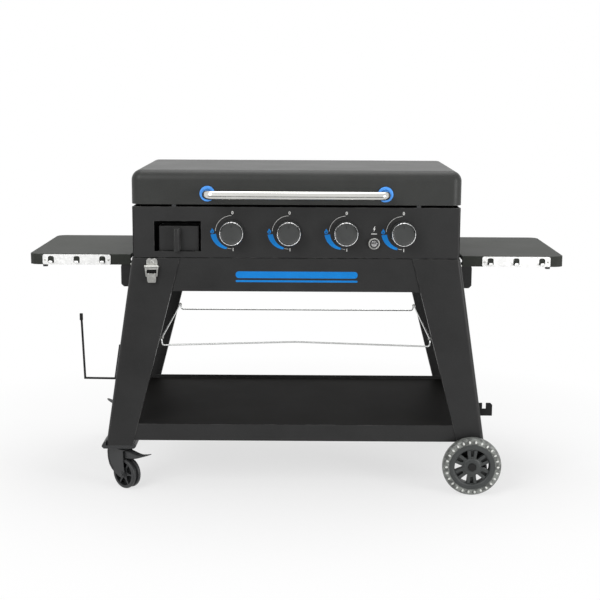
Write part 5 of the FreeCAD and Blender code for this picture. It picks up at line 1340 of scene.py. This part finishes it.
class GRIDDLE_OT_side_shelves(PieceOperator, bpy.types.Operator):
    """Dress the folding side shelves with their brackets, rods, hooks and pads"""

    bl_idname = "griddle.side_shelves"
    bl_label = "Side shelves"

    def execute(self, context):
        dressed("bracket_plates", "shelf_brackets", "charcoal_sheet")
        dressed("shelf_pivot_rods", "shelf_hinge_rods", "zinc")
        for side in ("left", "right"):
            dressed("side_shelf_%s_pan" % side, "side_shelf_" + side, "shelf_top", 0.9)
            self.hook_plate(side)
            dressed("shelf_pads_" + side, "shelf_bumpers_" + side, "rubber")
        return {"FINISHED"}

    def hook_plate(self, side):
        """Bright plate with three arched windows, whose cut tongues are bent out into hooks."""
        node = "tool_hooks_" + side
        body = frame["nodes"][node]["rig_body"]
        low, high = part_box(node)
        half, tall = (high.x - low.x) * 500, (high.z - low.z) * 1000
        at = facing(TO_FRONT, Vector(((low.x + high.x) / 2, high.y, low.z)))
        wall, pitch = 1.6, 78
        outlines = [rounded_outline(-half, 0, half, tall, 5)]
        meshes = []
        for x in (-pitch, 0, pitch):
            outlines.append(self.window(x))
            hook = bent_strip([(0.2, 4.4), (9.8, 4.4), (11.2, 6.6), (11.2, 10.4)], wall, 11.6, bend=4)
            lip = bent_strip([(11.2, 9.8), (10.4, 12)], wall, 9.4)
            meshes += [moved(hook, x), moved(lip, x)]
        meshes.append(plate(outlines, wall, 0.3, 2))
        settle("tool_hook_plate_" + side, placed(joined(meshes), at), body, "hook_plate", (node,))
        head = lathe([(0, 1.2), (0.8, 1.3), (1.1, 2.2), (2.2, 2), (3.2, 1), (3.4, 0), (3.4, -0.4),
                      (0, -0.4)], 20)
        ends = [Vector((end * (half - 6.8), tall * 0.48, wall + 0.1)) / 1000 for end in (-1, 1)]
        screws = fasteners([(at @ end, TO_FRONT) for end in ends], head, "zinc")
        settle("hook_plate_screws_" + side, screws, body, None, (), 40)

    def window(self, x):
        """A window's outline about its middle x, flat below and round above."""
        half, sill, spring, radius, shift = 9.2, 5.2, 19.5, 6.2, 3
        crown = arc(radius, 0, 90, 6, (x + shift, spring)) + arc(radius, 90, 180, 6, (x - shift, spring))
        return [(x - half, sill), (x + half, sill), (x + half, spring)] + crown + [(x - half, spring)]


class GRIDDLE_OT_wires(PieceOperator, bpy.types.Operator):
    """Make the bag ring, its clips and the paper towel holder"""

    bl_idname = "griddle.wires"
    bl_label = "Wires"

    def execute(self, context):
        half, slant, inset = 399.8, 2, 6
        end, low, middle = 468, 448, 460
        left = [(-half + slant, low), (-half, end)]
        right = [(half, end), (half - slant, low)]
        front = [spot(x, inset, z) for x, z in right + [(0, middle)] + left]
        back = [spot(x, BACK - inset, z) for x, z in left[::-1] + right[::-1]]
        ring = bar(front + back, context.scene.griddle_controls.ring_wire, 0.008, "wire", 14, closed=True)
        settle("bag_ring_wire", ring, "cart", None, ("bag_ring",))
        dressed("ring_clip_blocks", "bag_ring_clips", "zinc", 0.4)
        dressed("towel_holder_wire", "towel_holder", "black_wire", 0.0)
        return {"FINISHED"}


class GRIDDLE_OT_latches(PieceOperator, bpy.types.Operator):
    """Make the draw latches: strikes with a rivet, framed claws and levers with a thumb end"""

    bl_idname = "griddle.latches"
    bl_label = "Latches"

    def execute(self, context):
        dressed("latch_base_plates", "latch_bases", "dark_steel", 0.3)
        strikes = []
        for place, at in (("front", facing(TO_FRONT, spot(-LATCH_OUT, 0, 0))),
                          ("rear", facing(TO_BACK, spot(LATCH_OUT, BACK, 0)))):
            strikes.append(placed(self.strike(), at))
            for kind, shape, coat in (("claw", self.claw(), "zinc"), ("lever", self.lever(), "worn_zinc")):
                body = "%s_%s" % (kind, place)
                settle("latch_%s_plate" % body, placed(shape, at), body, coat, ("latch_" + body,))
        settle("strike_plates", joined(strikes), "cart", "zinc", ("latch_strikes",))
        return {"FINISHED"}

    def strike(self):
        """Plate with two rounded ears at its top, a rivet and a turned-out lip below."""
        right = [(16.3, 684), (16.3, 700), (15.6, 704.5), (13, 708), (9.5, 709.6), (5.5, 709.2), (0, 707.6)]
        face = plate([eased(mirrored(right), 2, 3)], 1.5)
        rivet = lathe([(2.2, 1.4), (2.2, 2.1), (2.8, 2.7), (3.8, 2.8), (4.7, 2.2), (4.8, 1.4)], 32, True)
        lip = bent_strip([(0.5, 684.8), (7.6, 684.8), (7.6, 688.6)], 1.4, 32.6)
        return joined([face, moved(rivet, y=698.5), lip])

    def claw(self):
        """Frame that narrows downwards, with a bead along its top that hooks over the lip."""
        right = [(21.2, 690.4), (21.2, 684.6), (19.9, 682.6), (16.9, 657.4), (14, 657), (14.6, 677.6)]
        front = plate([eased(mirrored(right), 0.9, 3)], 1.5, 0.4, 2)
        bead = [(14.6, 684.6), (14.9, 687.4), (14.2, 690), (11, 690.6), (4.9, 690.2), (4.9, 686.6)]
        ear = eased([(6.4, 659), (13.4, 659), (13.4, 676), (9.5, 674), (6.4, 668)], 1.5, 3)
        ears = [moved(across(plate([ear], 1.3), 1.3), x) for x in (-15.5, 15.5)]
        return joined([moved(front, z=12.3), bent_strip(bead, 1.5, 41.2, 0.4, 2)] + ears)

    def lever(self):
        """Plate with an arched top between two cheeks, a pin, and a ribbed thumb end that turns out."""
        arch = [(12.9 * x, 661 + 5.5 * z) for x, z in arc(1, 0, 180, 12)]
        web = plate([arch + [(-12.9, 656), (12.9, 656)]], 1.5, 0.4, 2)
        thumb = plate([eased(mirrored([(13.5, 0.6), (13.2, -11), (11.2, -17.6)]), 3, 4)], 1.6, 0.5, 2)
        ribs = [moved(plate([rounded_outline(-half, -0.9, half, 0.9, 0.8)], 1, 0.3, 2), 0, y, 1.4)
                for half, y in ((8.5, -5.2), (7.5, -8.8), (6.2, -12.4))]
        end = tilted(joined([thumb] + ribs), 9, "X", 0, 656.5, 13.2)
        pin = lathe([(0, -15.8), (1.7, -15.8), (2, -15.4), (2, 15.4), (1.7, 15.8), (0, 15.8)], 20)
        cheek = eased([(3.4, 667.5), (10.6, 667.5), (14, 661), (14, 650), (11, 645), (3.4, 660)], 1.6, 3)
        cheeks = [moved(across(plate([cheek], 1.8), 1.8), x) for x in (-9.3, 9.3)]
        return joined([moved(web, z=12.9), end, tilted(pin, 90, "Y", 0, 664, 9.2)] + cheeks)


class GRIDDLE_OT_wheels(PieceOperator, bpy.types.Operator):
    """Make the main wheels: hub, tyre with pale studs, axle bolt"""

    bl_idname = "griddle.wheels"
    bl_label = "Main wheels"

    def execute(self, context):
        settings = context.scene.griddle_wheels
        dressed("axle_bolts", "wheel_axles", "dark_steel", 0.4)
        for place, outwards in (("front", TO_FRONT), ("rear", TO_BACK)):
            body = "wheel_" + place
            low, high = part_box("tyre_" + place)
            inner = high.y if place == "front" else low.y
            at = facing(outwards, Vector(((low.x + high.x) / 2, inner, (low.z + high.z) / 2)))
            settle("tyre_%s_rubber" % place, placed(self.tyre(), at), body, "tyre",
                   ("tyre_" + place,), 40)
            studs = [around(moved(self.stud(), 76.8, 0, height), settings.studs, "tyre_stud")
                     for height in (32.5, 3.5)]
            settle("tyre_%s_studs" % place, placed(joined(studs), at), body, None, (), 40)
            hub = joined([self.rim(), self.centre(), around(self.spoke(), settings.spokes, "hub")])
            hub.transform(at @ Matrix.Rotation(math.pi / settings.spokes, 4, "Z"))
            settle("wheel_hub_%s_spokes" % place, hub, body, "hub",
                   ("wheel_hub_" + place,), 35)
        return {"FINISHED"}

    def tyre(self):
        """Rubber ring: flat tread with rounded shoulders and a shallow sidewall dish."""
        return lathe([(69, 3), (72, 2.2), (76, 2), (80.5, 2.8), (84.5, 5), (87.2, 8.2), (88.5, 12.5),
                      (88.8, 18), (88.5, 23.5), (87.2, 27.8), (84.5, 31), (80.5, 33.2), (76, 34),
                      (72, 33.8), (69, 33)], 128, True)

    def stud(self):
        """A low pellet, longer along the wheel's radius."""
        half = [(3.8, 0.4), (3.2, 1.4), (1.8, 2), (0, 2.2)]
        pellet = lathe(half[::-1] + [(radius, -height) for radius, height in half], 12)
        return placed(pellet, Matrix.Diagonal((1.25, 0.95, 1.0, 1.0)))

    def rim(self):
        """The hub's outer ring, which carries the tyre."""
        return lathe([(52.5, 4.5), (54, 3), (68, 1.8), (68.8, 2.4), (68.8, 33.6), (68, 34.5), (63, 35.2),
                      (57, 34.6), (54, 32.5), (52.5, 30)], 128, True)

    def centre(self):
        """The hub's bored centre boss."""
        return lathe([(6.1, 0.5), (22, 1), (26.8, 4), (27.5, 27), (26.8, 30), (24, 31.8), (18, 32.8),
                      (12.5, 33), (10, 31.8), (6.1, 31.8)], 96, True)

    def spoke(self):
        """A broad spoke that widens to the centre, with a blind slot down its middle."""
        half = [(54, 16.5), (42, 19.5), (32, 23), (25.5, 28.5)]
        outline = polar([(radius, -turn) for radius, turn in reversed(half)] + half)
        slot = eased(polar([(52.5, -6.2), (52.5, 6.2), (31.5, 6.8), (31.5, -6.8)]), 1.6, 4)
        back = moved(plate([outline], 6, 0.9, 2), z=11.5)
        return joined([back, moved(plate([outline, slot], 11.8, 0.9, 2), z=17)])


class GRIDDLE_OT_casters(PieceOperator, bpy.types.Operator):
    """Make the casters: foot plates, forks, twin-rim wheels and brake pedals"""

    bl_idname = "griddle.casters"
    bl_label = "Casters"

    def execute(self, context):
        self.foot_plates()
        windows = context.scene.griddle_wheels.caster_windows
        for place, depth, turn in CASTERS:
            at = Matrix.Translation(spot(-CASTER_OUT, depth, 0)) @ Matrix.Rotation(math.radians(turn), 4, "Z")
            wheel = tilted(self.wheel(windows), 90, "X", CASTER_TRAIL, 0, CASTER_RADIUS)
            for kind, shape, mover in (("fork", self.fork(), "swivel_"), ("wheel", wheel, "roller_"),
                                       ("brake", self.pedal(), "pedal_")):
                node = "caster_%s_%s" % (kind, place)
                settle(node + "_plastic", placed(shape, at), mover + place, "plastic",
                       (node,), 40)
        return {"FINISHED"}

    def foot_plates(self):
        """Caps under the left legs, with a wing up each side of the leg and a ball race below."""
        outline = eased([(-579, 128.2), (-585, 134), (-584.4, 139), (-575.5, 150.5), (-570.6, 150.5),
                         (-572.4, 137.8), (-491.3, 137.8), (-489, 146.5), (-486, 146.5), (-481.4, 138.5),
                         (-482, 133), (-487.5, 128.2)], 1.6, 3)
        ball_race = [(0, 123.2), (22.5, 123.2), (23.6, 124), (23.6, 125), (22.8, 125.6), (25.2, 126.2),
                     (26.2, 127.4), (26.2, 128.6), (0, 128.6)]
        plates = []
        for near_edge, (_, depth, _) in zip((82, BACK), CASTERS):
            plates.append(placed(plate([outline], 82, 0.9, 2), facing(TO_FRONT, spot(0, near_edge, 0))))
            plates.append(placed(lathe(ball_race, 48), Matrix.Translation(spot(-CASTER_OUT, depth, 0))))
        settle("caster_foot_plates", joined(plates), "cart", "plastic",
               ("caster_plates",), 40)

    def fork(self):
        """Two broad ribbed arms that curve in to the axle, a crown, the kingpin and the cross pins."""
        outline = eased([(-30, 122.4), (-33, 106), (-31, 84), (-25, 66), (-14, 53), (0, 44), (14, 37),
                         (26, 33.5), (36, 35), (42, 43), (42, 54), (38.5, 70), (37, 90), (37, 122.4)], 9, 4)
        rib_line = [(-27.5, 112), (-27.5, 86), (-20, 68), (-8, 55)]
        cap = [(0, 0), (7.8, 0), (7.8, 1.6), (7, 2.2), (5, 2.4), (4.6, 4.6), (3, 5.2), (0, 5.2)]
        parts = []
        for side in (-1, 1):
            arm = turned_up(across(plate([outline], 2.8, 1, 3), 2.8))
            rib = turned_up(bent_strip(rib_line, 4, 3.4, 0.9, 12))
            parts += [moved(arm, y=side * 18.9), moved(rib, y=side * 19.9)]
            parts.append(tilted(lathe(cap, 24), -90 * side, "X", CASTER_TRAIL, side * 19.8, CASTER_RADIUS))
        parts.append(moved(plate([rounded_outline(-31, -20.5, 37.2, 20.5, 6)], 4.6, 1.2, 3), z=118.2))
        parts.append(lathe([(0, 122), (5.8, 122), (5.8, 134.5), (0, 134.5)], 24))
        for x, z, radius in ((CASTER_TRAIL, CASTER_RADIUS, 3.8), (30, 110.4, 2.8)):
            pin = lathe([(0, -19.5), (radius, -19.5), (radius, 19.5), (0, 19.5)], 20)
            parts.append(tilted(pin, 90, "X", x, 0, z))
        return joined(parts)

    def wheel(self, windows):
        """Two rims with a deep groove between them and a star of spokes in each face."""
        side = [(35.5, 12), (36.2, 15.2), (39, 16), (42.5, 15.8), (45, 14.2), (45.9, 11.5), (45.9, 8.5),
                (45, 5.8), (42.5, 4.4), (38.5, 3.8)]
        hub = [(4.6, 14.8), (8.5, 15), (10, 13.8), (10.4, 10)]
        rims = lathe(side + [(radius, -height) for radius, height in reversed(side)], 96, True)
        web = lathe([(4.6, 2), (35.8, 2), (35.8, -2), (4.6, -2)], 64, True)
        boss = lathe(hub + [(radius, -height) for radius, height in reversed(hub)], 48, True)
        ray = plate([eased([(37.2, 3), (22, 2.6), (8.5, 7.2), (8.5, -7.2), (22, -2.6), (37.2, -3)], 2, 3)],
                    27, 0.8, 2)
        return joined([rims, web, boss, around(moved(ray, z=-13.5), windows, "plastic")])

    def pedal(self):
        """Brake pedal: a deep body over the wheel that runs out into a thin, slightly raised tip."""
        stations = [  # out, top, bottom and half width
            (20, 120.5, 94.5, 11.5), (26, 121.6, 93.8, 13), (40, 120.2, 94.6, 13), (60, 117.2, 96.8, 13),
            (80, 114.2, 101, 13), (94, 113.6, 105.6, 12.6), (106, 115.6, 110.4, 11.6),
            (120, 119.4, 115.6, 10), (131, 123, 120, 7.5), (136.5, 125.2, 122.9, 4),
        ]
        loops = []
        for x, top, low, half in stations:
            soft = min(2.4, (top - low) * 0.35)
            right = [(half - soft, top), (half, top - soft), (half, low + soft), (half - soft, low)]
            loops.append([(x, y, z) for y, z in mirrored(right)])
        work = skinned(loops)
        rounded_edges(work, 0.6, 30)
        ribs = [moved(plate([rounded_outline(-1.2, -8, 1.2, 8, 1)], 1.6, 0.5, 2), x, 0, z)
                for x, z in ((100, 113.8), (107, 115.2), (114, 116.8))]
        return joined([mesh_of(work)] + ribs)


class GRIDDLE_PT_panel(bpy.types.Panel):
    """Lists the griddle station's pieces and settings"""

    bl_label = "Griddle Station"
    bl_idname = "GRIDDLE_PT_panel"
    bl_space_type = "VIEW_3D"
    bl_region_type = "UI"
    bl_category = "Griddle"

    def draw(self, context):
        for name, group in SETTINGS:
            box = self.layout.box()
            box.label(text=group.__doc__)
            for key in group.__annotations__:
                box.prop(getattr(context.scene, name), key)
        for operator in OPERATORS:
            self.layout.operator(operator.bl_idname)


SETTINGS = (
    ("griddle_finish", FinishSettings),
    ("griddle_sheet", SheetSettings),
    ("griddle_controls", ControlSettings),
    ("griddle_wheels", WheelSettings),
    ("griddle_stage", StageSettings),
)
OPERATORS = (
    GRIDDLE_OT_stage,
    GRIDDLE_OT_head,
    GRIDDLE_OT_lid,
    GRIDDLE_OT_panel,
    GRIDDLE_OT_knobs,
    GRIDDLE_OT_cart,
    GRIDDLE_OT_side_shelves,
    GRIDDLE_OT_wires,
    GRIDDLE_OT_latches,
    GRIDDLE_OT_wheels,
    GRIDDLE_OT_casters,
)


def register():
    """Adds the settings, the operators and the panel to Blender."""
    for name, group in SETTINGS:
        bpy.utils.register_class(group)
        setattr(bpy.types.Scene, name, PointerProperty(type=group))
    for operator in OPERATORS:
        bpy.utils.register_class(operator)
    bpy.utils.register_class(GRIDDLE_PT_panel)


def unregister():
    """Takes them out again, in the opposite order."""
    bpy.utils.unregister_class(GRIDDLE_PT_panel)
    for operator in reversed(OPERATORS):
        bpy.utils.unregister_class(operator)
    for name, group in reversed(SETTINGS):
        delattr(bpy.types.Scene, name)
        bpy.utils.unregister_class(group)


def main():
    """Makes the whole model."""
    register()
    griddle = bpy.ops.griddle
    griddle.stage()
    griddle.head()
    griddle.lid()
    griddle.panel()
    griddle.knobs()
    griddle.cart()
    griddle.side_shelves()
    griddle.wires()
    griddle.latches()
    griddle.wheels()
    griddle.casters()


if __name__ == "__main__":
    main()
